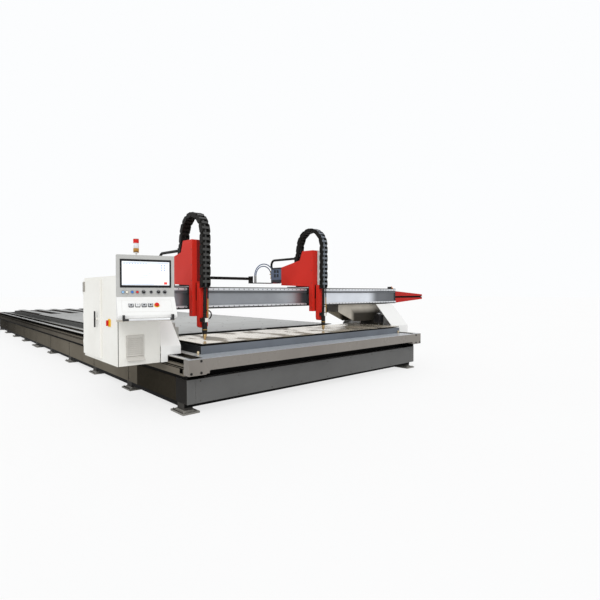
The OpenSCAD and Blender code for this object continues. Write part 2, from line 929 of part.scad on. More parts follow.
// Point of the bridge chain's run at distance s: along the top, round the bend and back below
bridge_chain_top_l = bridge_chain_x1 - bridge_chain_x0;
bridge_chain_arc = PI * bridge_chain_bend;
bridge_chain_l = bridge_chain_top_l + bridge_chain_arc + bridge_chain_lower;
bridge_chain_z = shelf_z + shelf_t + fit + bridge_chain_t / 2 + bridge_chain_bend;
function bridge_chain_pt(s) =
    s < bridge_chain_top_l ? [bridge_chain_x1 - s, bridge_chain_z + bridge_chain_bend]
    : s < bridge_chain_top_l + bridge_chain_arc
        ? let (a = 90 + 180 * (s - bridge_chain_top_l) / bridge_chain_arc)
            [bridge_chain_x0, bridge_chain_z] + bridge_chain_bend * [cos(a), sin(a)]
        : [bridge_chain_x0 + s - bridge_chain_top_l - bridge_chain_arc, bridge_chain_z - bridge_chain_bend];

// Drag chain of the bridge: the upper run ends at the second station's lug
module bridge_chain() {
    pitch = bridge_chain_l / bridge_chain_n;
    color([0.1, 0.1, 0.1]) from_corner() translate([0, shelf_y + shelf_w / 2, 0]) rotate([0, 0, -90])
        for (i = [0:bridge_chain_n - 1])
            chain_link(bridge_chain_pt(i * pitch), bridge_chain_pt((i + 1) * pitch),
                bridge_chain_w, bridge_chain_t, i % 2 == 0);
}

// Outline of the cable arm from the beam to its tip, between two shares of its height
module arm_outline(low, high) {
    x = bridge_x1;
    z0 = bridge_z + arm_bottom_rise;
    h0 = bridge_h - arm_top_drop - arm_bottom_rise;
    h1 = arm_tip_h_share * h0;
    z1 = z0 + (h0 - h1) / 2;
    polygon([
        [x, z0 + low * h0], [x + arm_l, z1 + low * h1],
        [x + arm_l, z1 + high * h1], [x, z0 + high * h0]
    ]);
}

// Tapered arm that carries the long drag chain's end: twin plates at each side of a recessed web
module cable_arm() {
    slot = (1 + arm_slot_share) / 2;
    color([0.72, 0.14, 0.12]) from_corner() {
        for (y = [bridge_y0 + arm_y_inset, bridge_y1 - arm_y_inset - arm_t]) along_y(y, y + arm_t) {
            arm_outline(0, slot - arm_slot_share);
            arm_outline(slot, 1);
        }
        along_y(bridge_y0 + arm_y_inset + arm_web_inset, bridge_y1 - arm_y_inset - arm_web_inset)
            arm_outline(slot - 2 * arm_slot_share, slot + arm_slot_share);
    }
}

// Knee bracket of length l between the bridge and a carriage post: side plates and an end plate
module knee(l, foot_l, end_h) {
    y0 = bridge_y - post_d / 2;
    y1 = bridge_y + post_d / 2;
    for (y = [y0, y1 - knee_t]) along_y(y, y + knee_t)
        polygon([
            [post_in, bridge_z], [post_in + l, bridge_z], [post_in + l, bridge_z - end_h],
            [post_in + foot_l, bridge_z - knee_foot_h], [post_in, bridge_z - knee_foot_h]
        ]);
    span([post_in + l - knee_t, y0 + knee_t, bridge_z - end_h], [post_in + l, y1 - knee_t, bridge_z]);
}

// Base plate, hollow post under the beam and the motor shelf of one carriage
module carriage_post() {
    y0 = bridge_y - post_d / 2;
    y1 = bridge_y + post_d / 2;
    difference() {
        union() {
            span([-frame_out, carriage_y0 + cover_t + fit, plate_z],
                [post_in, carriage_y1 - cover_t - fit, frame_z]);
            span([-post_in, y0, frame_z], [post_in, y1, bridge_z]);
        }
        span([post_wall - post_in, y0 + post_wall, frame_z - cut],
            [post_in - post_wall, y1 - post_wall, bridge_z - post_wall]);
    }
    span([post_in - motor_plate_t, motor_y - motor_w / 2, frame_z],
        [post_in, motor_y + motor_w / 2, motor_plate_z]);
    difference() {
        span([post_in - motor_plate_t, motor_y - motor_w / 2, motor_plate_z],
            [pinion_x + motor_w / 2, motor_y + motor_w / 2, motor_plate_z + motor_plate_t]);
        translate([pinion_x, motor_y, motor_plate_z - cut])
            cylinder(r = 2 * shaft_r, h = motor_plate_t + 2 * cut);
    }
}

// Carriage frames, with a short knee on the left and a long one on the right
module carriage_frames() {
    color([0.6, 0.57, 0.52]) from_corner() {
        both_sides() carriage_post();
        knee(knee_ls[0], knee_foot_ls[0], knee_end_hs[0]);
        translate([base_w, 0, 0]) mirror([1, 0, 0])
            knee(knee_ls[1], knee_foot_ls[1], knee_end_hs[1]);
    }
}

// Side profile of a carriage cover, drawn in by t
module cover_profile(t) {
    y0 = carriage_y0 + t;
    y1 = carriage_y1 - t;
    top = cover_top_l / 2;
    shoulder = cover_low + cover_skirt;
    polygon([
        [y0, cover_low - t], [y0, shoulder],
        [bridge_y - top + t, cover_top], [bridge_y + top - t, cover_top],
        [y1, shoulder], [y1, cover_low - t]
    ]);
}

// A carriage cover between two places along X, stepped up to clear the rail and the side channel
module cover_shell(x0, x1, outer) {
    difference() {
        along_x(x0, x1) cover_profile(0);
        along_x(outer ? x0 + cover_t : x0 - cut, x1 + cut) {
            cover_profile(cover_t);
            translate([bridge_y - cover_top_l / 2 + cover_t, cover_top - cut])
                square([cover_top_l - 2 * cover_t, 2 * cut]);
        }
        span([-cover_step_in, carriage_y0 - cut, cover_low - cut - cover_t],
            [x1 + cut, carriage_y1 + cut, cover_step_z]);
    }
}

// White sheet covers of both carriages; the left one is closed by the console cabinet
module carriage_covers() {
    color([0.92, 0.91, 0.88]) from_corner() {
        cover_shell(fit - frame_out, cover_in, false);
        translate([base_w, 0, 0]) mirror([1, 0, 0]) cover_shell(-cover_out, cover_in, true);
    }
}

// Bearing blocks on the guide rails, two under each carriage
module bearing_blocks() {
    color([0.35, 0.36, 0.38]) from_corner() both_sides()
        for (y = [carriage_y0 + block_l / 2, carriage_y1 - block_l * 3 / 2]) difference() {
            span([rail_mid - block_w / 2, y, block_z], [rail_mid + block_w / 2, y + block_l, plate_z]);
            span([rail_x - fit, y - cut, block_z - cut],
                [rail_x + rail_w + fit, y + block_l + cut, rail_z + rail_h + fit]);
        }
}

// Upright gearmotors on the motor shelves
module gearmotors() {
    z0 = motor_plate_z + motor_plate_t;
    color([0.12, 0.12, 0.13]) from_corner() both_sides() translate([pinion_x, motor_y, z0])
        difference() {
            union() {
                span([-motor_w / 2, -motor_w / 2, 0], [motor_w / 2, motor_w / 2, motor_body_h]);
                translate([0, 0, motor_body_h]) cylinder(r = motor_can_r, h = motor_can_h);
            }
            translate([0, 0, -cut]) cylinder(r = shaft_bore, h = motor_body_h / 2 + cut);
        }
}

// Drive pinion on its shaft, which hangs from the gearmotor down to the rack
module pinion() {
    depth = tooth_d_share * pinion_r;
    width = tooth_w_share * 2 * PI * pinion_r / pinion_teeth;
    top = motor_plate_z + motor_plate_t + motor_body_h / 2 - fit;
    difference() {
        cylinder(r = pinion_r, h = rack_h);
        for (i = [0:pinion_teeth - 1]) rotate(i * 360 / pinion_teeth)
            span([pinion_r - depth, -width / 2, -cut], [pinion_r + cut, width / 2, rack_h + cut]);
    }
    translate([0, 0, rack_h]) cylinder(r = shaft_r, h = top - rail_z - fit - rack_h);
}

module left_pinion() {
    color([0.55, 0.55, 0.56]) from_corner() translate([pinion_x, motor_y, rail_z + fit]) pinion();
}

module right_pinion() {
    color([0.55, 0.55, 0.56]) from_corner()
        translate([base_w - pinion_x, motor_y, rail_z + fit]) pinion();
}

// Console cabinet: sheet box, open at its left side where the door closes it
module cabinet_shell() {
    w = cabinet_wall;
    color([0.91, 0.9, 0.87]) from_corner() difference() {
        span([cabinet_x0, cabinet_y0, cabinet_z], [cabinet_x1, cabinet_y1, cabinet_top]);
        span([cabinet_x0 + w, cabinet_y0 + w, cabinet_z + w],
            [cabinet_x1 - w, cabinet_y1 - w, cabinet_top - w]);
        span([cabinet_x0 - cut, door_y0 + door_lap, cabinet_z + door_rim + door_lap],
            [cabinet_x0 + w + cut, door_y1 - door_lap, cabinet_top - door_rim - door_lap]);
    }
}

// Places of the hinges along the door's rear edge
hinge_zs = [for (i = [0:hinge_n - 1])
    cabinet_z + cabinet_h * (2 * i + 1) / (2 * hinge_n) - hinge_h];
hinge_x = cabinet_x0 - hinge_out;
hinge_y = door_y1 + hinge_gap;

// Fan grille with its hood, the fixed hinge halves and the bracket that carries the head
module cabinet_fittings() {
    pitch = (grille_h - 2 * grille_rim) / grille_bars;
    color([0.8, 0.79, 0.76]) from_corner() {
        difference() {
            span([grille_x, cabinet_y0 - grille_t, grille_z],
                [grille_x + grille_w, cabinet_y0, grille_z + grille_h]);
            for (i = [0:grille_bars - 1])
                span([grille_x + grille_rim, cabinet_y0 - grille_t - cut,
                        grille_z + grille_rim + i * pitch],
                    [grille_x + grille_w - grille_rim, cabinet_y0 - grille_t / 2,
                        grille_z + grille_rim + (i + 0.5) * pitch]);
        }
        along_x(grille_x, grille_x + grille_w)
            polygon([
                [cabinet_y0, grille_z], [cabinet_y0 - hood_out, grille_z - hood_drop],
                [cabinet_y0 - hood_out, grille_z - hood_drop - cover_t], [cabinet_y0, grille_z - cover_t]
            ]);
        for (z = hinge_zs) {
            translate([hinge_x, hinge_y, z]) {
                cylinder(r = hinge_r, h = hinge_h - fit);
                cylinder(r = hinge_pin_r, h = 2 * hinge_h);
            }
            span([hinge_x, hinge_y - hinge_pin_r, z],
                [cabinet_x0, hinge_y + hinge_pin_r, z + hinge_h - fit]);
        }
        difference() {
            for (z = [swivel_z - swivel_lug_t - fit, swivel_z + swivel_h + fit]) {
                translate([head_x, head_y, z]) cylinder(r = swivel_r, h = swivel_lug_t);
                span([head_x - swivel_r, head_y, z], [head_x + swivel_r, cabinet_y0, z + swivel_lug_t]);
            }
        }
        translate([head_x, head_y, swivel_z - fit - swivel_lug_t])
            cylinder(r = swivel_pin_r, h = swivel_h + 2 * (fit + swivel_lug_t));
    }
}

// Signal light on its pole: foot, pole, three lenses with rings between them and a cap
module stack_light() {
    z = light_foot_h + light_pole_h;
    color([0.3, 0.3, 0.32]) from_corner() translate([light_x, light_y, cabinet_top]) {
        cylinder(r = light_r, h = light_foot_h);
        cylinder(r = light_pole_r, h = z);
        for (i = [0:lens_n - 1]) translate([0, 0, z + i * (lens_h + light_ring)]) {
            cylinder(r = light_r, h = light_ring);
            translate([0, 0, light_ring]) cylinder(r = light_r - cover_t / 2, h = lens_h);
        }
        translate([0, 0, z + lens_n * (lens_h + light_ring)]) cylinder(r = light_r, h = light_ring);
    }
}

// Cabinet door with its half of each hinge
module cabinet_door() {
    color([0.92, 0.91, 0.88]) from_corner() {
        span([cabinet_x0 - door_t, door_y0, cabinet_z + door_rim],
            [cabinet_x0 - fit, door_y1, cabinet_top - door_rim]);
        for (z = hinge_zs) difference() {
            union() {
                translate([hinge_x, hinge_y, z + hinge_h]) cylinder(r = hinge_r, h = hinge_h);
                span([hinge_x - hinge_r, door_y1 - hinge_r, z + hinge_h],
                    [hinge_x, hinge_y, z + 2 * hinge_h]);
            }
            translate([hinge_x, hinge_y, z]) cylinder(r = hinge_pin_r + run_fit, h = 2 * hinge_h + cut);
        }
    }
}

// Swing handle on the door
module door_handle() {
    x = cabinet_x0 - door_t - fit;
    color([0.75, 0.76, 0.78]) from_corner()
        translate([x, door_y0 + handle_in, handle_z]) rotate([0, -90, 0]) {
            cylinder(r = handle_r, h = handle_boss);
            translate([0, 0, handle_boss]) linear_extrude(handle_t) {
                translate([-handle_l / 2, -handle_w / 2]) square([handle_l, handle_w]);
                for (s = [-1, 1]) translate([s * handle_l / 2, 0]) circle(r = handle_w / 2);
            }
        }
}

// Main isolator: round knob with a grip bar
module isolator() {
    color([0.8, 0.1, 0.08]) from_corner()
        translate([cabinet_x0 - fit, isolator_y, isolator_z]) rotate([0, -90, 0]) {
            cylinder(r = isolator_r, h = isolator_t);
            span([-isolator_r, -isolator_bar_w / 2, isolator_t],
                [isolator_r, isolator_bar_w / 2, isolator_t + isolator_bar_t]);
        }
}

// The head's own frame: on the swivel axis, turned towards the operator
module on_head() {
    from_corner() translate([head_x, head_y, 0]) rotate(-head_turn) children();
}

// Screen housing with the swivel boss at its back
module head_shell() {
    color([0.72, 0.72, 0.71]) on_head() difference() {
        union() {
            span([-head_w / 2, -head_front, head_z], [head_w / 2, -head_back, head_z + head_h]);
            translate([0, 0, swivel_z]) cylinder(r = swivel_r, h = swivel_h);
            span([-swivel_r, -head_back, swivel_z], [swivel_r, 0, swivel_z + swivel_h]);
        }
        translate([0, 0, swivel_z - cut]) cylinder(r = swivel_pin_r + run_fit, h = swivel_h + 2 * cut);
    }
}

// Screen glass on the front of the head
module screen() {
    top = head_z + head_h - screen_drop;
    color([0.9, 0.92, 0.94]) on_head()
        span([-screen_w / 2, -head_front - screen_t, top - screen_h], [screen_w / 2, -head_front, top]);
}

// The sloping key panel's own frame: from its upper edge, Y up the slope and Z out of it
module on_keypad() {
    translate([0, -head_front, head_z]) rotate([90 - keypad_angle, 0, 0]) children();
}

// Key panel box under the screen, with pockets for the keys and the emergency stop
module keypad_box() {
    lip = head_front + keypad_out;
    color([0.94, 0.94, 0.92]) on_head() difference() {
        along_x(-head_w / 2, head_w / 2)
            polygon([
                [-head_back, head_z], [-head_front, head_z], [-lip, head_z - keypad_drop],
                [-lip, head_z - keypad_drop - keypad_lip], [-head_back - keypad_heel, head_z - keypad_low],
                [-head_back, head_z - keypad_low]
            ]);
        on_keypad() {
            for (i = [0:3])
                translate([key_x + i * key_pitch, -key_down, -key_depth / 2])
                    cube([key_w + 2 * fit, key_w + 2 * fit, key_depth + 2 * cut], center = true);
            translate([estop_x, -key_down, -key_depth])
                cylinder(r = estop_stem_r + run_fit, h = key_depth + cut);
        }
    }
}

// Grab rail under the key panel: a round bar between two arms
module grab_rail() {
    y = -head_front - keypad_out;
    z = head_z - keypad_drop - rail_arm_drop;
    color([0.15, 0.15, 0.15]) on_head() {
        rod([-rail_span / 2, y - rail_out, z], [rail_span / 2, y - rail_out, z], rail_bar_r);
        for (s = [-1, 1]) translate([s * (rail_span + rail_arm_w) / 2, 0, 0]) {
            span([-rail_arm_w / 2, y - rail_out - rail_bar_r, z - rail_bar_r],
                [rail_arm_w / 2, y, z + rail_arm_h - rail_bar_r]);
        }
    }
}

// Row of indicator lamps under the screen, and the key lock
module lamp_row() {
    color([0.6, 0.75, 0.9]) on_head()
        for (x = concat(lamp_xs, [lock_x]))
            rod([x, -head_front, head_z + row_lift], [x, -head_front - lamp_up, head_z + row_lift], lamp_r);
}

// Emergency stop: mushroom head on a stem that runs in its bore
module estop() {
    color([0.85, 0.1, 0.1]) on_head() on_keypad() translate([estop_x, -key_down, -key_under]) {
        cylinder(r = estop_stem_r, h = key_under + estop_up);
        translate([0, 0, key_under + estop_up - estop_cap_t]) cylinder(r = estop_r, h = estop_cap_t);
    }
}

// Square pushbutton number i in its pocket
module key(i) {
    color([0.55, 0.56, 0.57]) on_head() on_keypad()
        translate([key_x + i * key_pitch - key_w / 2, -key_down - key_w / 2, -key_under])
            cube([key_w, key_w, key_under + key_up]);
}

module key_1() { key(0); }
module key_2() { key(1); }
module key_3() { key(2); }
module key_4() { key(3); }

// Turning knob on the head at place x: round body with a grip bar
module knob(x) {
    color([0.1, 0.1, 0.1]) on_head()
        translate([x, -head_front - fit, head_z + row_lift]) rotate([90, 0, 0]) {
            cylinder(r = knob_r, h = knob_up);
            span([-knob_bar_w / 2, -knob_r, knob_up],
                [knob_bar_w / 2, knob_r, knob_up + knob_bar_up]);
        }
}

module override_dial() { knob(dial_x); }
module selector_1() { knob(selector_xs[0]); }
module selector_2() { knob(selector_xs[1]); }

// A station's own frame: X from its centre line
module on_station(i) {
    from_corner() translate([station_xs[i], 0, 0]) children();
}

// Saddle: plate and four blocks on the bridge guides, with the drive shelf over the beam
module saddle(i) {
    half = station_w / 2 - saddle_inset;
    y0 = post_back;
    y1 = bridge_y0 - station_block_gap;
    top = housing_z - fit;
    color([0.11, 0.11, 0.12]) on_station(i) {
        span([-half, y0, bridge_z + saddle_inset], [half, y0 + saddle_t, top]);
        for (z = guide_zs, x = [-half, half - station_block_l]) difference() {
            span([x, y0 + saddle_t, z - station_block_h / 2],
                [x + station_block_l, y1, z + station_block_h / 2]);
            span([x - cut, bridge_y0 - guide_t - fit, z - guide_h / 2 - fit],
                [x + station_block_l + cut, bridge_y0 + cut, z + guide_h / 2 + fit]);
        }
        span([-half, y0 + saddle_t, top - saddle_top_t], [half, housing_y1 - box_l / 2, top]);
        translate([0, bridge_y, top])
            span([-x_motor_w / 2, -x_motor_l / 2, 0], [x_motor_w / 2, x_motor_l / 2, x_motor_h]);
    }
}

module saddle_1() { saddle(0); }
module saddle_2() { saddle(1); }

// Side outline of a station housing, drawn in by t and open below when drawn in
module housing_outline(t) {
    o = t > 0 ? cut : 0;
    polygon([
        [post_front + t, post_low - o], [post_front + t, station_top - t],
        [post_front + cap_l - t, station_top - t],
        [kink_y - t, station_top - kink_drop - t], [housing_y1 - t, station_top - rear_drop - t],
        [housing_y1 - t, t > 0 ? housing_z - o : housing_z + rear_rise],
        [post_back - t, housing_z - o], [post_back - t, post_low - o]
    ]);
}

// Red sheet housing over the station's drives and down the lifter's post
module housing(i) {
    color([0.78, 0.2, 0.17]) on_station(i) difference() {
        along_x(-station_w / 2, station_w / 2) housing_outline(0);
        along_x(housing_wall - station_w / 2, station_w / 2 - housing_wall) housing_outline(housing_wall);
    }
}

module housing_1() { housing(0); }
module housing_2() { housing(1); }

// Control box behind the housing, with four square windows in each side
module control_box(i) {
    z0 = housing_z + box_lift;
    mid = [housing_y1 + box_l / 2, z0 + window_lift_share * box_h];
    color([0.3, 0.34, 0.4]) on_station(i) difference() {
        span([-box_w / 2, housing_y1, z0], [box_w / 2, housing_y1 + box_l, z0 + box_h]);
        for (s = [-1, 1], a = [-1, 1], b = [-1, 1])
            translate([s * box_w / 2, mid.x + a * window_pitch / 2, mid.y + b * window_pitch / 2])
                cube([2 * window_d, window_w, window_w], center = true);
    }
}

module control_box_1() { control_box(0); }
module control_box_2() { control_box(1); }

// Hose looping from height z0 at place x0 over to the elbow on a connector at place x and height z
module hose_loop(x0, x, z0, z) {
    y = housing_y1 + box_l + connector_l + elbow_r;
    top = z + elbow_l;
    rod([x, y - elbow_r, z], [x, y + elbow_r, z], elbow_r);
    rod([x, y, z], [x, y, top], elbow_r);
    rod([x0, y, z0], [x0, y, top], loop_r);
    translate([(x0 + x) / 2, y, top]) rotate([90, 0, 0])
        rotate_extrude(angle = 180) translate([(x - x0) / 2, 0]) circle(r = loop_r);
}

// Rear loom: connectors on the control box, the conduit from it to the drag chain's fixed
// end, the bracket there and, on the second station, the bridge chain's lug with two hoses
module rear_loom(i) {
    y1 = housing_y1 + box_l;
    z0 = housing_z + box_lift;
    connector_xs = [for (k = [0:connector_n - 1]) (k - (connector_n - 1) / 2) * 3 * connector_r];
    arc_z = conduit_z - conduit_bend;
    low_z = conduit_z - 2 * conduit_bend;
    by0 = chain_rear_y - chain_t / 2 - fit;
    by1 = by0 + bracket_l + bracket_t;
    color([0.1, 0.1, 0.1]) on_station(i) {
        rod([0, y1, low_z], [0, y1 + gland_l, low_z], gland_r);
        rod([0, y1 + gland_l, low_z], [0, y1 + conduit_stub, low_z], conduit_r);
        translate([0, y1 + conduit_stub, arc_z]) rotate([90, 0, 90]) rotate(-90)
            rotate_extrude(angle = 180) translate([conduit_bend, 0]) circle(r = conduit_r);
        rod([0, by1, conduit_z], [0, y1 + conduit_stub, conduit_z], conduit_r);
        along_x(-chain_w / 2, chain_w / 2)
            polygon([
                [by0, slope_z(by0) + fit], [by1, slope_z(by1) + fit], [by1, slope_z(by1) + bracket_h],
                [by1 - bracket_t, slope_z(by1) + bracket_h], [by1 - bracket_t, chain_foot_z],
                [by0, chain_foot_z]
            ]);
        for (x = connector_xs)
            rod([x, y1, z0 + box_h / 3], [x, y1 + connector_l, z0 + box_h / 3], connector_r);
        if (i == 1) {
            z1 = z0 - fit;
            x0 = -chain_lug_reach;
            span([x0, housing_y1 + box_l / 2, z1 - bracket_t], [0, shelf_y + shelf_w, z1]);
            span([x0, shelf_y, z1],
                [x0 + bracket_t, shelf_y + shelf_w, bridge_chain_z + bridge_chain_bend + bridge_chain_t]);
            for (k = [0, 1])
                hose_loop(x0 + loop_in + (1 - k) * loop_pitch, connector_xs[k], z1, z0 + box_h / 3);
        }
    }
}

module rear_loom_1() { rear_loom(0); }
module rear_loom_2() { rear_loom(1); }

// Run of the lifter's drag chain: up in front of the slide, over the bend and down to the housing
chain_z = chain_apex - chain_bend;
chain_front_l = chain_z - chain_low;
chain_arc = 180 - chain_lean;
chain_arc_l = chain_bend * chain_arc * PI / 180;
chain_end = [chain_y + chain_bend + chain_bend * cos(chain_lean), chain_z + chain_bend * sin(chain_lean)];
chain_rear_l = (chain_end.y - chain_rear_z) / cos(chain_lean);
chain_rear_y = chain_end.x + chain_rear_l * sin(chain_lean);
chain_foot_z = chain_rear_z - chain_t / 2 - fit;
chain_l = chain_front_l + chain_arc_l + chain_rear_l;
function chain_pt(s) =
    s < chain_front_l ? [chain_y, chain_low + s]
    : s < chain_front_l + chain_arc_l
        ? let (a = 180 - (s - chain_front_l) / chain_arc_l * chain_arc)
            [chain_y + chain_bend, chain_z] + chain_bend * [cos(a), sin(a)]
        : chain_end + (s - chain_front_l - chain_arc_l) * [sin(chain_lean), -cos(chain_lean)];

// Side outline of a cable along the middle of that run
module cable_outline() {
    c = [chain_y + chain_bend, chain_z];
    h = cable_t / 2;
    across = h * [cos(chain_lean), sin(chain_lean)];
    last = chain_end + chain_rear_l * [sin(chain_lean), -cos(chain_lean)];
    turns = [for (k = [0:cable_steps]) 180 - k * chain_arc / cable_steps];
    polygon(concat(
        [[chain_y - h, chain_low - chain_t / 2]],
        [for (a = turns) c + (chain_bend + h) * [cos(a), sin(a)]],
        [last + across, last - across],
        [for (k = [0:cable_steps])
            let (a = turns[cable_steps - k]) c + (chain_bend - h) * [cos(a), sin(a)]],
        [[chain_y + h, chain_low - chain_t / 2]]
    ));
}

// Drag chain from the lifter slide over to the top of the housing, with the cables in it
module drag_chain(i) {
    pitch = chain_l / chain_n;
    color([0.1, 0.1, 0.1]) on_station(i) {
        for (k = [0:chain_n - 1])
            chain_link(chain_pt(k * pitch), chain_pt((k + 1) * pitch), chain_w, chain_t, k % 2 == 0);
        for (k = [0:cable_n - 1])
            let (x = (k - (cable_n - 1) / 2) * cable_pitch)
                along_x(x - cable_w / 2, x + cable_w / 2) cable_outline();
    }
}

module drag_chain_1() { drag_chain(0); }
module drag_chain_2() { drag_chain(1); }

// Front outline of the lifter slide, drawn in by t, with rounded lower corners
module slide_outline(t) {
    half = slide_w / 2 - t;
    z = slide_low + t + slide_round;
    translate([-half, z]) square([2 * half, slide_top - t - z]);
    translate([slide_round - half, z - slide_round]) square([2 * (half - slide_round), slide_round]);
    for (s = [-1, 1]) translate([s * (half - slide_round), z]) circle(r = slide_round);
}

// Lifter slide on its narrower guide, with the shelf that the drag chain ends on
module lifter_slide(i) {
    z = chain_low - chain_t / 2 - fit;
    tail = post_front - fit - tail_d;
    color([0.8, 0.18, 0.16]) on_station(i) {
        along_y(slide_front, tail) slide_outline(0);
        along_y(tail, post_front - fit) slide_outline(tail_inset);
        span([-chain_w / 2, chain_y - chain_t / 2, z - shelf_plate_t], [chain_w / 2, slide_front, z]);
    }
}

module lifter_slide_1() { lifter_slide(0); }
module lifter_slide_2() { lifter_slide(1); }

// Torch with its nozzle and collars, in the clamp block on the slide's front
module torch(i) {
    h = torch_top - tip_z;
    n = len(torch_z_shares);
    color([0.12, 0.12, 0.12]) on_station(i) {
        translate([torch_x, torch_y, tip_z]) rotate_extrude()
            polygon(concat(
                [[0, 0]],
                [for (k = [0:n - 1]) [torch_r_shares[k] * torch_r, torch_z_shares[k] * h]],
                [[0, h]]
            ));
        span([torch_x - torch_clamp_w / 2, torch_y - torch_r - torch_clamp_wrap, torch_clamp_z],
            [torch_x + torch_clamp_w / 2, slide_front, torch_clamp_z + torch_clamp_h]);
    }
}

module torch_1() { torch(0); }
module torch_2() { torch(1); }

// Leads from the drag chain's shelf to the torch: the thick main lead, two thin gas leads
// before it and the hose that loops from the clamp back to the main lead
module torch_leads(i) {
    top = chain_low - chain_t / 2 - fit - shelf_plate_t - lead_gap;
    clamp_top = torch_clamp_z + torch_clamp_h + lead_gap;
    side = torch_x + torch_clamp_w / 2 + fit;
    z = torch_clamp_z + hose_lift;
    color([0.45, 0.36, 0.2]) on_station(i) {
        rod([torch_x, torch_y, torch_top + lead_gap], [lead_x, chain_y, top], lead_r);
        for (k = [0, 1])
            rod([torch_x + gas_x + k * gas_pitch, torch_y - gas_out, clamp_top],
                [lead_x + gas_x + k * gas_pitch, chain_y - lead_r - gas_r - lead_gap, top], gas_r);
        translate([side, torch_y, z]) rotate([90, 0, 0]) rotate(-90)
            rotate_extrude(angle = 180) translate([hose_bend, 0]) circle(r = hose_r);
        rod([torch_x, torch_y, z + hose_bend], [side, torch_y, z + hose_bend], hose_r);
    }
}

module torch_leads_1() { torch_leads(0); }
module torch_leads_2() { torch_leads(1); }

foot_plates();
leg_columns();
side_beams();
cross_members();
side_panels();
end_panels();
end_channels();
side_channels();
guide_rails();
gear_racks();
bed_walls();
slats();
front_deck();
deck_sheets();
bridge_beam();
bridge_guides();
cable_shelf();
bridge_chain();
cable_arm();
carriage_frames();
carriage_covers();
bearing_blocks();
gearmotors();
left_pinion();
right_pinion();
cabinet_shell();
cabinet_fittings();
stack_light();
cabinet_door();
door_handle();
isolator();
head_shell();
screen();
keypad_box();
grab_rail();
lamp_row();
estop();
key_1();
key_2();
key_3();
key_4();
override_dial();
selector_1();
selector_2();
saddle_1();
housing_1();
control_box_1();
rear_loom_1();
drag_chain_1();
lifter_slide_1();
torch_1();
torch_leads_1();
saddle_2();
housing_2();
control_box_2();
rear_loom_2();
drag_chain_2();
lifter_slide_2();
torch_2();
torch_leads_2();
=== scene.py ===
import math

import bmesh
import bpy
from mathutils import Matrix, Vector


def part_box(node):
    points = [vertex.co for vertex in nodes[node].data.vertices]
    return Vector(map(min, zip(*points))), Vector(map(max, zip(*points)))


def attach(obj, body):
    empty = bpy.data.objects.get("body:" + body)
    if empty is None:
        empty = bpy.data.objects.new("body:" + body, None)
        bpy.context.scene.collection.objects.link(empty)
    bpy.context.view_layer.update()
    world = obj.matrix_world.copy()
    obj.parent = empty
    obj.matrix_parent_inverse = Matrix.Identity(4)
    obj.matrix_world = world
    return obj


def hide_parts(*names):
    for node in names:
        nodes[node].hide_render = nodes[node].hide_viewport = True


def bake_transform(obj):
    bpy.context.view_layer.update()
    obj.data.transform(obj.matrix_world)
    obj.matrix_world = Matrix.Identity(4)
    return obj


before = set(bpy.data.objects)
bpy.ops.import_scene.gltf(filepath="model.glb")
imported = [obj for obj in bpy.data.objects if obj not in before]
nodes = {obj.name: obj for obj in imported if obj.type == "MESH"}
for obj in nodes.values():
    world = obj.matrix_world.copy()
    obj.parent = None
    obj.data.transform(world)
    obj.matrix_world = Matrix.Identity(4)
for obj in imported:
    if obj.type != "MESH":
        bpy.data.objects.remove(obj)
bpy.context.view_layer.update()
scene = bpy.context.scene
scene.view_settings.view_transform = "Standard"


# Viewpoint: a person standing in front of the table's left corner, looking along the bridge.
# The lens is a wide one, so the near corner is large and the table runs away to the left.
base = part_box("end_panels")[0]
eye = Vector((base.x - 2.082, base.y - 4.085, 1.3))
heading, dip = math.radians(42.0), math.radians(1.08)
look = Vector((math.sin(heading) * math.cos(dip), math.cos(heading) * math.cos(dip), -math.sin(dip)))
viewer = bpy.data.objects.new("viewer", bpy.data.cameras.new("viewer"))
viewer.location = eye
viewer.rotation_euler = look.to_track_quat("-Z", "Y").to_euler()
viewer.data.sensor_width = 36.0
viewer.data.lens = 25.44
viewer.data.clip_end = 400.0
scene.collection.objects.link(viewer)
scene.camera = viewer


# Room: a plain white floor that runs to the horizon and keeps the shadow under the table,
# an even pale sky, and one broad soft lamp from the upper left, as a studio's roof light gives.
def srgb(r, g, b):
    """A colour as it is seen, from 0 to 255, as the shader's own linear colour."""
    return tuple(((c / 255 + 0.055) / 1.055) ** 2.4 if c > 10 else c / 255 / 12.92
                 for c in (r, g, b)) + (1.0,)


def add(tree, kind, feeds=None, **settings):
    """A shader node with its settings, and values or links for its inputs."""
    node = tree.nodes.new("ShaderNode" + kind)
    for key, value in settings.items():
        setattr(node, key, value)
    for key, value in (feeds or {}).items():
        if isinstance(value, bpy.types.NodeSocket):
            tree.links.new(value, node.inputs[key])
        else:
            node.inputs[key].default_value = value
    return node


def calc(tree, operation, *values):
    """What a sum of that kind makes of its values."""
    return add(tree, "Math", dict(enumerate(values)), operation=operation).outputs[0]


def ramp(tree, value, start, end, low=0.0, high=1.0):
    """A value brought from the range start to end into the range low to high."""
    return add(tree, "MapRange", {"Value": value, "From Min": start, "From Max": end, "To Min": low,
                                  "To Max": high}).outputs[0]


def cloud(tree, place, scale, detail, rough=0.5):
    """Soft uneven mottling, from 0 to 1."""
    return add(tree, "TexNoise", {"Vector": place, "Scale": scale, "Detail": detail,
                                  "Roughness": rough}).outputs["Fac"]


def place_on(tree):
    """The point of the surface that is shaded, in metres."""
    return add(tree, "TexCoord").outputs["Object"]


def seen_straight(tree):
    """1 for what the camera or a mirror sees, 0 for the light that a surface gathers."""
    ray = add(tree, "LightPath").outputs
    return calc(tree, "MAXIMUM", ray["Is Camera Ray"], ray["Is Glossy Ray"])


def new_material(name):
    """A fresh material, its node tree and its Principled shader."""
    material = bpy.data.materials.new(name)
    material.use_nodes = True
    return material, material.node_tree, material.node_tree.nodes["Principled BSDF"]


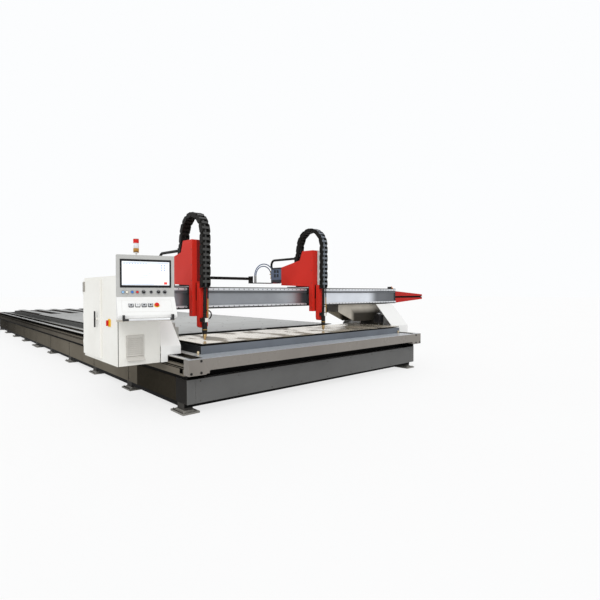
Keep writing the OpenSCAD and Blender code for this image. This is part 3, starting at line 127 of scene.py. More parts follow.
floor_half, floor_white = 120.0, 0.76
white_floor, tree, shell = new_material("white_floor")
tone = ramp(tree, cloud(tree, place_on(tree), 0.35, 4.0), 0, 1, 0.82, 0.88)
tree.links.new(add(tree, "CombineColor", {0: tone, 1: tone, 2: tone}).outputs[0], shell.inputs["Base Color"])
shell.inputs["Roughness"].default_value = 0.7
share = calc(tree, "MULTIPLY", seen_straight(tree), floor_white)
glow = add(tree, "Emission", {"Color": (1, 1, 1, 1), "Strength": 1.0})
surface = add(tree, "MixShader", {0: share, 1: shell.outputs[0], 2: glow.outputs[0]})
tree.links.new(surface.outputs[0], tree.nodes["Material Output"].inputs["Surface"])
floor_mesh = bpy.data.meshes.new("floor")
corners = ((-1, -1), (1, -1), (1, 1), (-1, 1))
floor_mesh.from_pydata([(sx * floor_half, sy * floor_half, 0) for sx, sy in corners], [], [(0, 1, 2, 3)])
floor = bpy.data.objects.new("floor", floor_mesh)
floor.data.materials.append(white_floor)
scene.collection.objects.link(floor)

sky = bpy.data.worlds.new("sky")
sky.use_nodes = True
tree = sky.node_tree
backdrop = tree.nodes["Background"]
backdrop.inputs["Color"].default_value = srgb(252, 253, 254)
tree.links.new(ramp(tree, seen_straight(tree), 0, 1, 0.84, 1.0), backdrop.inputs["Strength"])
scene.world = sky
lamp = bpy.data.objects.new("roof_light", bpy.data.lights.new("roof_light", "SUN"))
lamp.data.energy = 1.05
lamp.data.angle = math.radians(40)
lamp.rotation_euler = Vector((0.42, 0.60, -0.68)).to_track_quat("-Z", "Y").to_euler()
scene.collection.objects.link(lamp)


# Feet: thick steel plates under every leg, painted grey, standing on the floor.
# Each is held by four anchor studs with a nut and a washer.
def shader_group(name, inputs, outputs):
    """An empty node group with its sockets; returns it with its input and output nodes."""
    group = bpy.data.node_groups.new(name, "ShaderNodeTree")
    for label, kind, value in inputs:
        socket = group.interface.new_socket(label, in_out="INPUT", socket_type="NodeSocket" + kind)
        socket.default_value = value
    for label, kind in outputs:
        group.interface.new_socket(label, in_out="OUTPUT", socket_type="NodeSocket" + kind)
    return group, group.nodes.new("NodeGroupInput"), group.nodes.new("NodeGroupOutput")


paint_film, ins, outs = shader_group(
    "paint_film",
    [("Paint", "Color", (0.5, 0.5, 0.5, 1)), ("Grime", "Color", (0.2, 0.2, 0.2, 1)),
     ("Amount", "Float", 0.3), ("Scale", "Float", 4.0), ("Gloss", "Float", 0.4), ("Wear", "Float", 0.3)],
    [("Color", "Color"), ("Roughness", "Float"), ("Height", "Float")])
place = place_on(paint_film)
patch = cloud(paint_film, place, ins.outputs["Scale"], 7.0, 0.62)
dirt = calc(paint_film, "MULTIPLY", ramp(paint_film, patch, 0.42, 0.75), ins.outputs["Amount"])
film = add(paint_film, "Mix", {0: dirt, 6: ins.outputs["Paint"], 7: ins.outputs["Grime"]}, data_type="RGBA")
edge = add(paint_film, "Bevel", {"Radius": 0.006}, samples=4).outputs[0]
flat = add(paint_film, "NewGeometry").outputs["Normal"]
bent = add(paint_film, "VectorMath", {0: edge, 1: flat}, operation="DOT_PRODUCT").outputs["Value"]
chip = ramp(paint_film, cloud(paint_film, place, 55.0, 3.0), 0.46, 0.58)
worn = calc(paint_film, "MULTIPLY", ramp(paint_film, bent, 0.995, 0.86), chip)
worn = calc(paint_film, "MULTIPLY", worn, ins.outputs["Wear"])
bare = add(paint_film, "Mix", {0: worn, 6: film.outputs[2], 7: srgb(168, 164, 158)}, data_type="RGBA")
dull = calc(paint_film, "ADD", ramp(paint_film, patch, 0, 1, -0.1, 0.16), ins.outputs["Gloss"])
peel = cloud(paint_film, place, 420.0, 2.0)
for label, result in (("Color", bare.outputs[2]), ("Roughness", dull), ("Height", peel)):
    paint_film.links.new(result, outs.inputs[label])


def coated(name, group, values, bump, depth):
    """A material whose colour, roughness and fine relief come from a finish's node group."""
    material, tree, shell = new_material(name)
    film = add(tree, "Group", node_tree=group)
    for key, value in values.items():
        film.inputs[key].default_value = value
    tree.links.new(film.outputs["Color"], shell.inputs["Base Color"])
    tree.links.new(film.outputs["Roughness"], shell.inputs["Roughness"])
    grain = add(tree, "Bump", {"Height": film.outputs["Height"], "Strength": bump, "Distance": depth})
    tree.links.new(grain.outputs[0], shell.inputs["Normal"])
    return material, shell


def painted(name, paint, grime, amount=0.3, scale=4.0, gloss=0.42, wear=0.25, bump=0.06, metal=0.0,
            shine=0.25):
    """Sprayed paint on steel: mottled film, orange peel and bare metal along worn edges."""
    material, shell = coated(name, paint_film, {
        "Paint": srgb(*paint), "Grime": srgb(*grime), "Amount": amount, "Scale": scale, "Gloss": gloss,
        "Wear": wear}, bump, 0.001)
    shell.inputs["Metallic"].default_value = metal
    shell.inputs["Specular IOR Level"].default_value = shine
    return material


def dress(material, *names, round_edge=0.0):
    """Gives CAD nodes their material and, where wanted, a small rounding of their edges."""
    for name in names:
        node = nodes[name]
        if not node.material_slots:
            node.data.materials.append(material)
        for place in node.material_slots:
            place.material = material
        if round_edge:
            weld = node.modifiers.new("weld", "WELD")
            weld.merge_threshold = 0.00002
            soft = node.modifiers.new("round", "BEVEL")
            soft.width = round_edge
            soft.segments = 2
            soft.limit_method = "ANGLE"
            soft.angle_limit = math.radians(40)
            soft.use_clamp_overlap = True


def make_piece(name, mesh, material, body, place=None):
    """A finished mesh as a piece of the machine, on its body."""
    if place:
        bmesh.ops.transform(mesh, matrix=place, verts=mesh.verts)
    data = bpy.data.meshes.new(name)
    bmesh.ops.recalc_face_normals(mesh, faces=mesh.faces)
    mesh.to_mesh(data)
    mesh.free()
    piece = bpy.data.objects.new(name, data)
    scene.collection.objects.link(piece)
    data.materials.append(material)
    for face in data.polygons:
        face.use_smooth = True
    data.set_sharp_from_angle(angle=math.radians(32))
    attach(piece, body)
    return piece


def join_rings(mesh, rings):
    """Closes the skin between each ring of points and the next."""
    for low, high in zip(rings, rings[1:]):
        for i in range(len(low)):
            j = (i + 1) % len(low)
            mesh.faces.new((low[i], low[j], high[j], high[i]))


def turn(mesh, profile, origin, axis=(0, 0, 1), sides=24):
    """Adds a turned form: (radius, height) pairs round an axis from origin."""
    spin = Vector(axis).to_track_quat("Z", "Y").to_matrix()
    rings = []
    for radius, height in profile:
        ring = []
        for i in range(sides):
            a = 2 * math.pi * i / sides
            spoke = Vector((radius * math.cos(a), radius * math.sin(a), height))
            ring.append(mesh.verts.new(Vector(origin) + spin @ spoke))
        rings.append(ring)
    join_rings(mesh, rings)
    mesh.faces.new(rings[0][::-1])
    mesh.faces.new(rings[-1])


def bolt(mesh, origin, axis, size):
    """Adds a hexagon bolt head of that width across corners, on a round washer."""
    turn(mesh, [(0.72 * size, 0), (0.72 * size, 0.06 * size), (0.66 * size, 0.1 * size)], origin, axis, 20)
    up = Vector(axis).normalized() * 0.1 * size
    turn(mesh, [(0.5 * size, 0), (0.5 * size, 0.3 * size), (0.44 * size, 0.36 * size)],
         Vector(origin) + up, axis, 6)


def screw(mesh, origin, axis, radius=0.007):
    """Adds a low button-head screw with a socket in its crown."""
    head_shares = ((1, 0), (1, 0.3), (0.8, 0.5), (0.5, 0.55), (0.45, 0.2))
    turn(mesh, [(r * radius, h * radius) for r, h in head_shares], origin, axis, 12)


foot_paint = painted("foot_paint", (122, 120, 115), (140, 136, 128), 0.5, 7.0, 0.42, 0.6)
dress(foot_paint, "foot_plates", round_edge=0.003)
zinc = painted("zinc_fastener", (150, 148, 142), (96, 90, 80), 0.5, 30.0, 0.34, 0.2, metal=0.8)
feet_low, feet_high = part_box("foot_plates")
foot_x, foot_y, foot_t, foot_pitch = 0.1, 0.15, 0.02, 1.5
foot_count, long_foot = 10, 5
stud_x, stud_y, nut_size = 0.075, 0.125, 0.018
foot_rows = [feet_low.y + foot_y + i * foot_pitch for i in range(foot_count)]
anchors = bmesh.new()
for side in (feet_low.x + foot_x, feet_high.x - foot_x):
    for i, y in enumerate(foot_rows):
        reach = stud_y + (foot_y if i == long_foot else 0.0)
        for sx in (-stud_x, stud_x):
            for sy in (-reach, reach):
                stud = (side + sx, y + sy, foot_t)
                bolt(anchors, stud, (0, 0, 1), nut_size)
                turn(anchors, [(0.005, 0.0), (0.005, 0.011), (0.004, 0.013)], stud, sides=12)
make_piece("anchor_bolts", anchors, zinc, "table")


# Base frame: box sections, columns and skirting behind the panels, welded and shot-blasted.
# Their near-black colour is painted shade, for the shade in the gap under the channels and under the panels.
# Painted shade: the side beams are near black so the gap under the channels reads dark.
frame_shade_black = painted("frame_shade_black", (12, 12, 12), (24, 22, 20), 0.35, 3.0, 0.8, 0.0, shine=0.08)
dress(frame_shade_black, "side_beams", "cross_members")


def axes_on(tree):
    """The X, Y and Z of the point of the surface that is shaded."""
    return add(tree, "SeparateXYZ", {"Vector": place_on(tree)}).outputs


def lay_over(material, key, mask, value):
    """Puts a colour or a number over what a socket of the shader has, where the mask is 1."""
    tree = material.node_tree
    socket = tree.nodes["Principled BSDF"].inputs[key]
    old = socket.links[0].from_socket if socket.is_linked else socket.default_value
    kind, under, over, result = ("RGBA", 6, 7, 2) if key == "Base Color" else ("FLOAT", 2, 3, 0)
    mixed = add(tree, "Mix", {0: mask, under: old, over: value}, data_type=kind)
    tree.links.new(mixed.outputs[result], socket)


def near_legs(material, reach, colour):
    """Another colour within reach of every leg's centre line, along the table's length."""
    tree = material.node_tree
    along = calc(tree, "SUBTRACT", axes_on(tree)["Y"], foot_rows[0])
    away = calc(tree, "PINGPONG", along, foot_pitch / 2)
    lay_over(material, "Base Color", calc(tree, "LESS_THAN", away, reach), srgb(*colour))


leg_half, panel_joint_half = 0.0801, 0.008
# Painted shade: the skirting between the legs is near black for the shade under the panels; the leg columns
# keep a dark grey.
leg_paint_and_shade = painted("leg_paint_and_shade", (12, 12, 12), (24, 22, 20), 0.35, 3.0, 0.7, 0.0, shine=0.1)
near_legs(leg_paint_and_shade, leg_half, (66, 64, 61))
dress(leg_paint_and_shade, "leg_columns")


# Panels: folded sheet screwed under the side beams, brown-grey along the sides and grey at the ends.
# The end panels wrap round the corners; their side returns are painted dark as painted shade. Small screws
# hold every edge.
zone_mask, ins, outs = shader_group(
    "zone_mask", [("Low", "Vector", (0, 0, 0)), ("High", "Vector", (1, 1, 1)), ("Soft", "Float", 0.00001)],
    [("Mask", "Float"), ("Tone", "Float")])
place = place_on(zone_mask)
above = add(zone_mask, "VectorMath", {0: place, 1: ins.outputs["Low"]}, operation="SUBTRACT")
below = add(zone_mask, "VectorMath", {0: ins.outputs["High"], 1: place}, operation="SUBTRACT")
least = add(zone_mask, "VectorMath", {0: above.outputs[0], 1: below.outputs[0]}, operation="MINIMUM")
apart = add(zone_mask, "SeparateXYZ", {"Vector": least.outputs[0]}).outputs
least = calc(zone_mask, "MINIMUM", calc(zone_mask, "MINIMUM", apart[0], apart[1]), apart[2])
mottle = ramp(zone_mask, cloud(zone_mask, place, 26.0, 5.0), 0, 1, 0.8, 1.18)
zone_mask.links.new(ramp(zone_mask, least, 0, ins.outputs["Soft"]), outs.inputs["Mask"])
zone_mask.links.new(mottle, outs.inputs["Tone"])
skin, clear = 0.001, 0.01  # how far a zone reaches past a face, to take it in


def finish_zone(material, low, high, colour, rough=None, metal=None, soft=0.00001):
    """Another finish on the part of a piece that lies between two corners, fading in over soft."""
    tree = material.node_tree
    zone = add(tree, "Group", node_tree=zone_mask)
    for key, value in (("Low", low), ("High", high), ("Soft", soft)):
        zone.inputs[key].default_value = value
    tint = add(tree, "VectorMath", {0: srgb(*colour)[:3], 3: zone.outputs["Tone"]}, operation="SCALE")
    for key, value in (("Base Color", tint.outputs[0]), ("Roughness", rough), ("Metallic", metal)):
        if value is not None:
            lay_over(material, key, zone.outputs["Mask"], value)


def around(box, reach, **limits):
    """The corners of a box let out by reach on every side, or with the limits given along an axis."""
    low, high = (corner + Vector((step, step, step)) for corner, step in zip(box, (-reach, reach)))
    for axis, (start, end) in limits.items():
        setattr(low, axis, start)
        setattr(high, axis, end)
    return low, high


def spaced(start, end, margin, gaps):
    """Even places along a line, from a margin inside its start to the same inside its end."""
    return [start + margin + k * (end - start - 2 * margin) / gaps for k in range(gaps + 1)]


def shade_along(material, near, far, share, axis="Y"):
    """Painted shade that darkens a finish along an axis, from none at near to that share of its colour left
    at far; it also dulls the film's gloss.
    """
    tree = material.node_tree
    shell = tree.nodes["Principled BSDF"]
    start = getattr(base, axis.lower())
    far_shade = ramp(tree, axes_on(tree)[axis], start + near, start + far, 1.0, share)
    coat = shell.inputs["Base Color"].links[0].from_socket
    darkened = add(tree, "VectorMath", {0: coat, 3: far_shade}, operation="SCALE")
    tree.links.new(darkened.outputs[0], shell.inputs["Base Color"])
    shell.inputs["IOR"].default_value = 1.1


side_grey = painted("side_panel_paint", (113, 107, 96), (88, 82, 73), 0.45, 1.6, 0.6, 0.2, shine=0.03)
end_grey = painted("end_panel_paint", (98, 98, 97), (76, 75, 74), 0.4, 1.4, 0.4, 0.25, shine=0.15)
dress(side_grey, "side_panels")
dress(end_grey, "end_panels")
panel_low, panel_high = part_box("side_panels")
end_low, end_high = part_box("end_panels")
dark_bay, return_edge = 1.364, 0.002
near_legs(side_grey, panel_joint_half, (34, 31, 27))
finish_zone(side_grey, (panel_low.x - 1, base.y, 0), (panel_high.x + 1, base.y + dark_bay, 1),
            (52, 48, 41), 0.7)
# Painted shade: the side returns of the end panels are painted near black.
for x in (end_low.x, end_high.x):
    finish_zone(end_grey, (x - skin, end_low.y + return_edge, 0), (x + skin, end_high.y - return_edge, 1),
                (22, 19, 16), 0.7)
# Painted shade: the side panels darken towards the far end of the table.
shade_along(side_grey, 4.5, 12.0, 0.18)
screw_out, corner_clear = 0.03, 0.3
screws = bmesh.new()
for y in foot_rows:
    for dy in (-screw_out, screw_out):
        for z in (0.14, 0.24, 0.34):
            if end_low.y + corner_clear < y + dy < end_high.y - corner_clear:
                screw(screws, (panel_low.x, y + dy, z), (-1, 0, 0))
                screw(screws, (panel_high.x, y + dy, z), (1, 0, 0))
for x in spaced(end_low.x, end_high.x, 0.16, 8):
    for z in (0.135, 0.345):
        screw(screws, (x, end_low.y, z), (0, -1, 0))
        screw(screws, (x, end_high.y, z), (0, 1, 0))
dark_screw = painted("panel_screw", (70, 66, 60), (50, 48, 46), 0.5, 40.0, 0.4, 0.2, metal=0.3)
make_piece("panel_screws", screws, dark_screw, "table")


# Channels: warm grey rolled sections round the top of the base, the end ones standing well out,
# with a clear satin film. Three dark bolts hold each end of the front and rear channels.
channel_grey = painted("channel_paint", (129, 124, 118), (98, 91, 82), 0.35, 1.8, 0.26, 0.35)
side_brown = painted("side_channel_paint", (114, 108, 98), (88, 82, 74), 0.4, 1.8, 0.52, 0.2, shine=0.03)
channel_low, channel_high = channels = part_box("end_channels")
side_low, side_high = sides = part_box("side_channels")
groove_depth, top_film = 0.2, 0.0012
# Painted shade: the side channels' grooves and the slot under them are painted near black.
for x, inward in ((side_low.x, 1), (side_high.x, -1)):
    inner = sorted((x - inward * skin, x + inward * groove_depth))
    for groove in ((0.4893, 0.4977), (0.5037, 0.5161), (0.5352, 0.5915)):
        finish_zone(side_brown, *around(sides, 1, x=inner, z=groove), (13, 12, 12), 0.7)
# The channel tops get a smoother, part-metal finish; their lighter colour is painted reflection.
top = (channel_high.z - top_film, channel_high.z + clear)
for paint, top_finish_and_sheen in ((channel_grey, (184, 189, 194)), (side_brown, (216, 216, 213))):
    finish_zone(paint, *around(channels, 1, z=top), top_finish_and_sheen, 0.3, 0.3)
# Painted shade: the side channels darken towards the far end.
shade_along(side_brown, 3.0, 8.5, 0.22)
dress(channel_grey, "end_channels", round_edge=0.002)
dress(side_brown, "side_channels", round_edge=0.002)
black_bolt = painted("blackened_bolt", (18, 18, 18), (40, 36, 32), 0.4, 30.0, 0.5, 0.3, shine=0.12)
channel_bolts = bmesh.new()
for x_end, inward in ((end_low.x, 1), (end_high.x, -1)):
    for dx, z in ((0.106, 0.578), (-0.007, 0.454), (0.106, 0.454)):
        bolt(channel_bolts, (x_end + inward * dx, channel_low.y, z), (0, -1, 0), 0.021)
        bolt(channel_bolts, (x_end + inward * dx, channel_high.y, z), (0, 1, 0), 0.021)
make_piece("channel_bolts", channel_bolts, black_bolt, "table")


# Grease nipple: a brass stem with a pale plastic cap, standing on the ledge at each front corner.
# It feeds the rail beside it.
nipple_x, nipple_y = 0.22, 0.162
nipples = bmesh.new()
for x in (end_low.x + nipple_x, end_high.x - nipple_x):
    turn(nipples, [(0.011, 0.0), (0.011, 0.008), (0.007, 0.009), (0.007, 0.016), (0.013, 0.017),
                   (0.013, 0.034), (0.009, 0.041)], (x, base.y + nipple_y, channel_high.z), sides=16)
nipple_brass = painted("nipple_brass", (222, 206, 176), (168, 138, 84), 0.6, 60.0, 0.3, 0.1, metal=0.3)
make_piece("grease_nipples", nipples, nipple_brass, "table")


# Rails and racks: ground steel guide rails with plugged screw holes, and toothed rack bars
# beside them. Both are bolted straight to the side beams.
ground_steel, ins, outs = shader_group(
    "ground_steel",
    [("Steel", "Color", (0.6, 0.6, 0.6, 1)), ("Oil", "Color", (0.2, 0.18, 0.15, 1)),
     ("Stretch", "Vector", (1, 1, 1)), ("Oiled", "Float", 0.3), ("Gloss", "Float", 0.28)],
    [("Color", "Color"), ("Roughness", "Float"), ("Height", "Float")])
place = place_on(ground_steel)
drawn = add(ground_steel, "VectorMath", {0: place, 1: ins.outputs["Stretch"]}, operation="MULTIPLY")
lines = cloud(ground_steel, drawn.outputs[0], 90.0, 4.0, 0.7)
smear = ramp(ground_steel, cloud(ground_steel, place, 2.2, 6.0, 0.6), 0.45, 0.8)
smear = calc(ground_steel, "MULTIPLY", smear, ins.outputs["Oiled"])
shade = ramp(ground_steel, lines, 0.3, 0.7, 0.82, 1.1)
tinted = add(ground_steel, "VectorMath", {0: ins.outputs["Steel"], 3: shade}, operation="SCALE")
steel = add(ground_steel, "Mix", {0: smear, 6: tinted.outputs[0], 7: ins.outputs["Oil"]}, data_type="RGBA")
streak = calc(ground_steel, "ADD", ramp(ground_steel, lines, 0, 1, -0.08, 0.12), ins.outputs["Gloss"])
for label, result in (("Color", steel.outputs[2]), ("Roughness", streak), ("Height", lines)):
    ground_steel.links.new(result, outs.inputs[label])


def ground(name, steel, oil, stretch, oiled=0.3, gloss=0.28, metal=0.9, bump=0.04):
    """Ground or rolled bare steel: drawn-out grinding lines under a smear of oil and dust."""
    material, shell = coated(name, ground_steel, {
        "Steel": srgb(*steel), "Oil": srgb(*oil), "Stretch": stretch, "Oiled": oiled, "Gloss": gloss},
        bump, 0.0006)
    shell.inputs["Metallic"].default_value = metal
    return material


rail_steel = ground("rail_steel", (176, 177, 180), (70, 62, 52), (1.0, 0.02, 1.0), 0.45, 0.26)
dress(rail_steel, "guide_rails")
rack_steel = ground("rack_steel", (118, 116, 112), (46, 42, 38), (1.0, 1.0, 1.0), 0.6, 0.36)
tooth_pitch = 0.00967
tree = rack_steel.node_tree
wave = calc(tree, "SINE", calc(tree, "MULTIPLY", axes_on(tree)["Y"], 2 * math.pi / tooth_pitch))
teeth = add(tree, "Bump", {"Height": wave, "Strength": 0.9, "Distance": 0.003})
tree.links.new(teeth.outputs[0], tree.nodes["Principled BSDF"].inputs["Normal"])
dress(rack_steel, "gear_racks")
rail_low, rail_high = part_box("guide_rails")
rail_half, plug_start, plug_pitch, plug_count = 0.0225, 0.07, 0.12, 115
plugs = bmesh.new()
for x in (rail_low.x + rail_half, rail_high.x - rail_half):
    for k in range(plug_count):
        turn(plugs, [(0.009, -0.001), (0.009, 0.0001), (0.008, 0.0002)],
             (x, rail_low.y + plug_start + plug_pitch * k, rail_high.z), sides=12)
make_piece("rail_plugs", plugs, black_bolt, "table")


# Bed: grey walls with comb bars inside, and flat slats standing on edge in them.
# The slats and the walls' inner faces are burnt and black with soot; a sheet duct runs on the right.
bed_grey = painted("bed_wall_paint", (112, 117, 124), (84, 86, 90), 0.45, 1.7, 0.3, 0.35, shine=0.4)
bed_low, bed_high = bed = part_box("bed_walls")
wall, duct_w, duct_start, duct_end = 0.003, 0.452, 0.967, 0.007
finish_zone(bed_grey, *around(bed, -wall, z=(0.5, 0.66)), (20, 19, 18), 0.7)
finish_zone(bed_grey, (bed_high.x - duct_w, bed_low.y + duct_start, 0.595),
            (bed_high.x + skin, bed_high.y - duct_end, 0.602), (96, 95, 92), 0.34)
# Painted shade: the bed's left outer face is painted darker, and darkest over its first 1.2 m.
for reach, colour in ((20.0, (84, 84, 82)), (1.2, (42, 43, 45))):
    finish_zone(bed_grey, (bed_low.x - skin, bed_low.y + wall, 0.5),
                (bed_low.x + wall, bed_low.y + reach, 0.72), colour, 0.4)
# Painted shade: the bed walls darken towards the far end.
shade_along(bed_grey, 4.5, 9.0, 0.4)
dress(bed_grey, "bed_walls")
slat_rust = ground("slat_scale", (40, 37, 35), (66, 44, 32), (0.1, 1.0, 1.0), 0.8, 0.66, 0.3, 0.2)
dress(slat_rust, "slats")


# Deck: a bright sheet over the front of the bed and grey plate behind it, lying on the slats.
# The bright one is polished and mirrors the torches; the grey one is mill finish with lifting holes,
# and its front edge is blackened in two lengths.
front_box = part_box("front_deck")
front_sheet = ground("bright_sheet", (224, 214, 196), (132, 118, 98), (0.04, 1.0, 1.0), 0.7, 0.19, 0.75,
                     0.02)
below_top = (0.6, front_box[1].z - top_film)
finish_zone(front_sheet, *around(front_box, skin, z=below_top), (46, 42, 38), 0.5, 0.1)
# Dark smears on the bright sheet: partly oil stain, partly painted reflection of dark things around it.
tree = front_sheet.node_tree
long_way = add(tree, "Mapping", {"Vector": place_on(tree), "Scale": (2.6, 0.9, 1.0)})
stain_and_reflection = ramp(tree, cloud(tree, long_way.outputs[0], 1.7, 2.0), 0.53, 0.59, 0.0, 0.85)
for key, value in (("Base Color", srgb(126, 117, 101)), ("Roughness", 0.5), ("Metallic", 0.2)):
    lay_over(front_sheet, key, stain_and_reflection, value)
dress(front_sheet, "front_deck", round_edge=0.0008)
deck_grey = ground("mill_plate", (174, 175, 173), (138, 136, 132), (1.0, 0.03, 1.0), 0.5, 0.34, 0.3, 0.03)
# Painted shade: the grey plate darkens towards the far end.
shade_along(deck_grey, 4.5, 7.5, 0.64)
deck_low, deck_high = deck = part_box("deck_sheets")
joint_x, joint_half, black_edge, side_edge = base.x + 2.03, 0.05, 0.07, 0.03
edge_y = (deck_low.y - clear, deck_low.y + black_edge)
for bar in ((deck_low.x - clear, joint_x - joint_half), (joint_x + joint_half, deck_high.x + clear)):
    finish_zone(deck_grey, *around(deck, clear, x=bar, y=edge_y), (24, 23, 22), 0.6, 0.0)
finish_zone(deck_grey, (deck_high.x - side_edge, deck_low.y, deck_low.z - clear),
            deck_high + Vector((clear, clear, clear)), (70, 70, 68), 0.6, 0.1)
dress(deck_grey, "deck_sheets")
hole_rows, hole_pitch, hole_start, hole_shift = 12, 0.6, 0.22, 0.05
lift_holes = bmesh.new()
for i in range(hole_rows):
    for x in spaced(deck_low.x, deck_high.x, 0.16, 7):
        turn(lift_holes, [(0.016, -0.004), (0.016, 0.0006), (0.013, 0.0006), (0.012, 0.0002)],
             (x + hole_shift * (i % 2), deck_low.y + hole_start + hole_pitch * i, deck_high.z), sides=14)
make_piece("lift_holes", lift_holes, black_bolt, "table")


# Bridge: a silver box beam with a recessed front, and bright ground guide strips along its
# upper and lower edges. The strips are screwed on at close pitch; the ends are capped black.
beam_low, beam_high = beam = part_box("bridge_beam")
front_depth, left_cap, right_cap, lip, lip_depth = 0.06, 0.1, 0.012, 0.0125, 0.004
bridge_silver = painted("bridge_silver", (222, 227, 234), (184, 188, 194), 0.5, 1.3, 0.3, 0.2, metal=0.75)
tree = bridge_silver.node_tree
shell = tree.nodes["Principled BSDF"]
axes = axes_on(tree)
front = calc(tree, "LESS_THAN", axes["Y"], beam_low.y + front_depth)
# Painted reflection: the recessed front is lighter and darker in long bands along the beam.
reflection_ramp = add(tree, "ValToRGB", {"Fac": ramp(tree, axes["X"], beam_low.x, beam_high.x)})
reflection_ramp.color_ramp.interpolation = "EASE"
stops = ((0.0, 0.12), (0.07, 0.34), (0.2, 0.42), (0.36, 0.42), (0.46, 0.55), (0.51, 0.25), (0.58, 0.95),
         (0.83, 1.0), (0.89, 0.22), (1.0, 0.18))
while len(reflection_ramp.color_ramp.elements) < len(stops):
    reflection_ramp.color_ramp.elements.new(0.5)
for stop, (length_share, tone) in zip(reflection_ramp.color_ramp.elements, stops):
    stop.position = length_share
    stop.color = (tone, tone, tone, 1.0)
coat = shell.inputs["Base Color"].links[0].from_socket
reflected_coat = add(tree, "Mix", {0: front, 6: coat, 7: reflection_ramp.outputs[0]}, data_type="RGBA", blend_type="MULTIPLY")
tree.links.new(reflected_coat.outputs[2], shell.inputs["Base Color"])
for cap in ((beam_low.x - skin, beam_low.x + left_cap), (beam_high.x - right_cap, beam_high.x + skin)):
    finish_zone(bridge_silver, *around(beam, clear, x=cap, z=(1.0, 1.4)), (28, 28, 30), 0.45, 0.0)
# Painted shade: a dark line along the top and bottom edges of the beam's front.
lip_y = (beam_low.y - skin, beam_low.y + lip_depth)
for lip_z in ((beam_low.z - skin, beam_low.z + lip), (beam_high.z - lip, beam_high.z + skin)):
    finish_zone(bridge_silver, *around(beam, 0, y=lip_y, z=lip_z), (66, 66, 66), 0.5, 0.2)
dress(bridge_silver, "bridge_beam", round_edge=0.003)
guide_low, guide_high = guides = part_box("bridge_guides")
guide_bright = ground("guide_strip_steel", (220, 223, 227), (150, 148, 144), (0.02, 1.0, 1.0), 0.4, 0.42,
                      0.5)
behind, lower_edge = (guide_high.z - 0.075, guide_high.z - 0.036), (guide_low.z - skin, guide_low.z + 0.0075)
finish_zone(guide_bright, *around(guides, skin, y=(guide_low.y + clear, guide_high.y + skin), z=behind),
            (92, 95, 99), 0.5, 0.3)
# Painted shade: the lower edge of the guide strips is painted dark, for the shade under them.
finish_zone(guide_bright, *around(guides, skin, z=lower_edge), (52, 51, 50), 0.5, 0.1)
dress(guide_bright, "bridge_guides")
strip_in, strip_start, strip_pitch, strip_count = 0.015, 0.06, 0.08, 60
strip_screws = bmesh.new()
for z in (guide_low.z + strip_in, guide_high.z - strip_in):
    for k in range(strip_count):
        turn(strip_screws, [(0.0075, -0.001), (0.0075, 0.0003), (0.0065, 0.0006)],
             (guide_low.x + strip_start + strip_pitch * k, guide_low.y, z), (0, -1, 0), 10)
make_piece("strip_screws", strip_screws, black_bolt, "bridge")


# End stops and limit switch: small black blocks bolted on the beam's top at its ends, each with
# a rubber buffer, and an amber proximity sensor at the right one.
def slab(mesh, low, high, soft=0.002):
    """Adds a block between two corners with its edges broken."""
    made = bmesh.ops.create_cube(mesh, size=1.0)["verts"]
    low, high = Vector(low), Vector(high)
    for vert in made:
        vert.co = Vector([low[i] + (vert.co[i] + 0.5) * (high[i] - low[i]) for i in range(3)])
    edges = list(dict.fromkeys(edge for vert in made for edge in vert.link_edges))
    bmesh.ops.bevel(mesh, geom=edges, offset=soft, segments=2, profile=0.5, affect="EDGES")


stop_half, left_stop, right_stop = 0.02, beam_low.x + 0.06, beam_high.x - 0.1
buffers = bmesh.new()
for x, inward in ((left_stop, 1), (right_stop, -1)):
    slab(buffers, (x - stop_half, beam_low.y + 0.03, beam_high.z),
         (x + stop_half, beam_low.y + 0.1, beam_high.z + 0.036), 0.003)
    turn(buffers, [(0.010, 0.0), (0.013, 0.008), (0.012, 0.018), (0.008, 0.021)],
         (x + inward * stop_half, beam_low.y + 0.065, beam_high.z + 0.02), (inward, 0, 0), 18)
stop_black = painted("stop_black", (22, 22, 23), (44, 42, 40), 0.4, 14.0, 0.5, 0.2, shine=0.12)
make_piece("end_stops", buffers, stop_black, "bridge")
sensor_x, sensor_half, sensor_top = beam_high.x - 0.035, 0.015, beam_high.z + 0.022
sensor = bmesh.new()
slab(sensor, (sensor_x - sensor_half, beam_low.y + 0.04, beam_high.z),
     (sensor_x + sensor_half, beam_low.y + 0.1, sensor_top))
turn(sensor, [(0.009, 0.0), (0.009, 0.02), (0.007, 0.024)], (sensor_x, beam_low.y + 0.07, sensor_top),
     sides=14)
sensor_amber = painted("sensor_amber", (222, 130, 40), (160, 86, 30), 0.3, 30.0, 0.3, 0.0, 0.02)
make_piece("limit_sensor", sensor, sensor_amber, "bridge")


# Cable shelf and bridge chain: a black sheet shelf on arms behind the beam, with a moulded
# drag chain lying in it.
bracket_black = painted("bracket_black", (22, 22, 24), (44, 42, 40), 0.35, 5.0, 0.48, 0.2, shine=0.14)
dress(bracket_black, "cable_shelf", round_edge=0.001)
chain_black = painted("moulded_black", (24, 24, 23), (46, 44, 41), 0.35, 9.0, 0.42, 0.1, 0.12, shine=0.14)


def bend_with(node_name, first, second, start, end, *materials):
    """Shows a copy of a drag chain in place of its node, with the materials given; the bodies and points
    passed are not used.
    """
    chain = nodes[node_name].copy()
    chain.data = nodes[node_name].data.copy()
    chain.name = node_name + "_links"
    for key in list(chain.keys()):
        del chain[key]
    chain.parent = None
    chain.matrix_world = Matrix.Identity(4)
    scene.collection.objects.link(chain)
    chain.data.materials.clear()
    for material in materials:
        chain.data.materials.append(material)
    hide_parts(node_name)
    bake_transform(chain)
    return chain


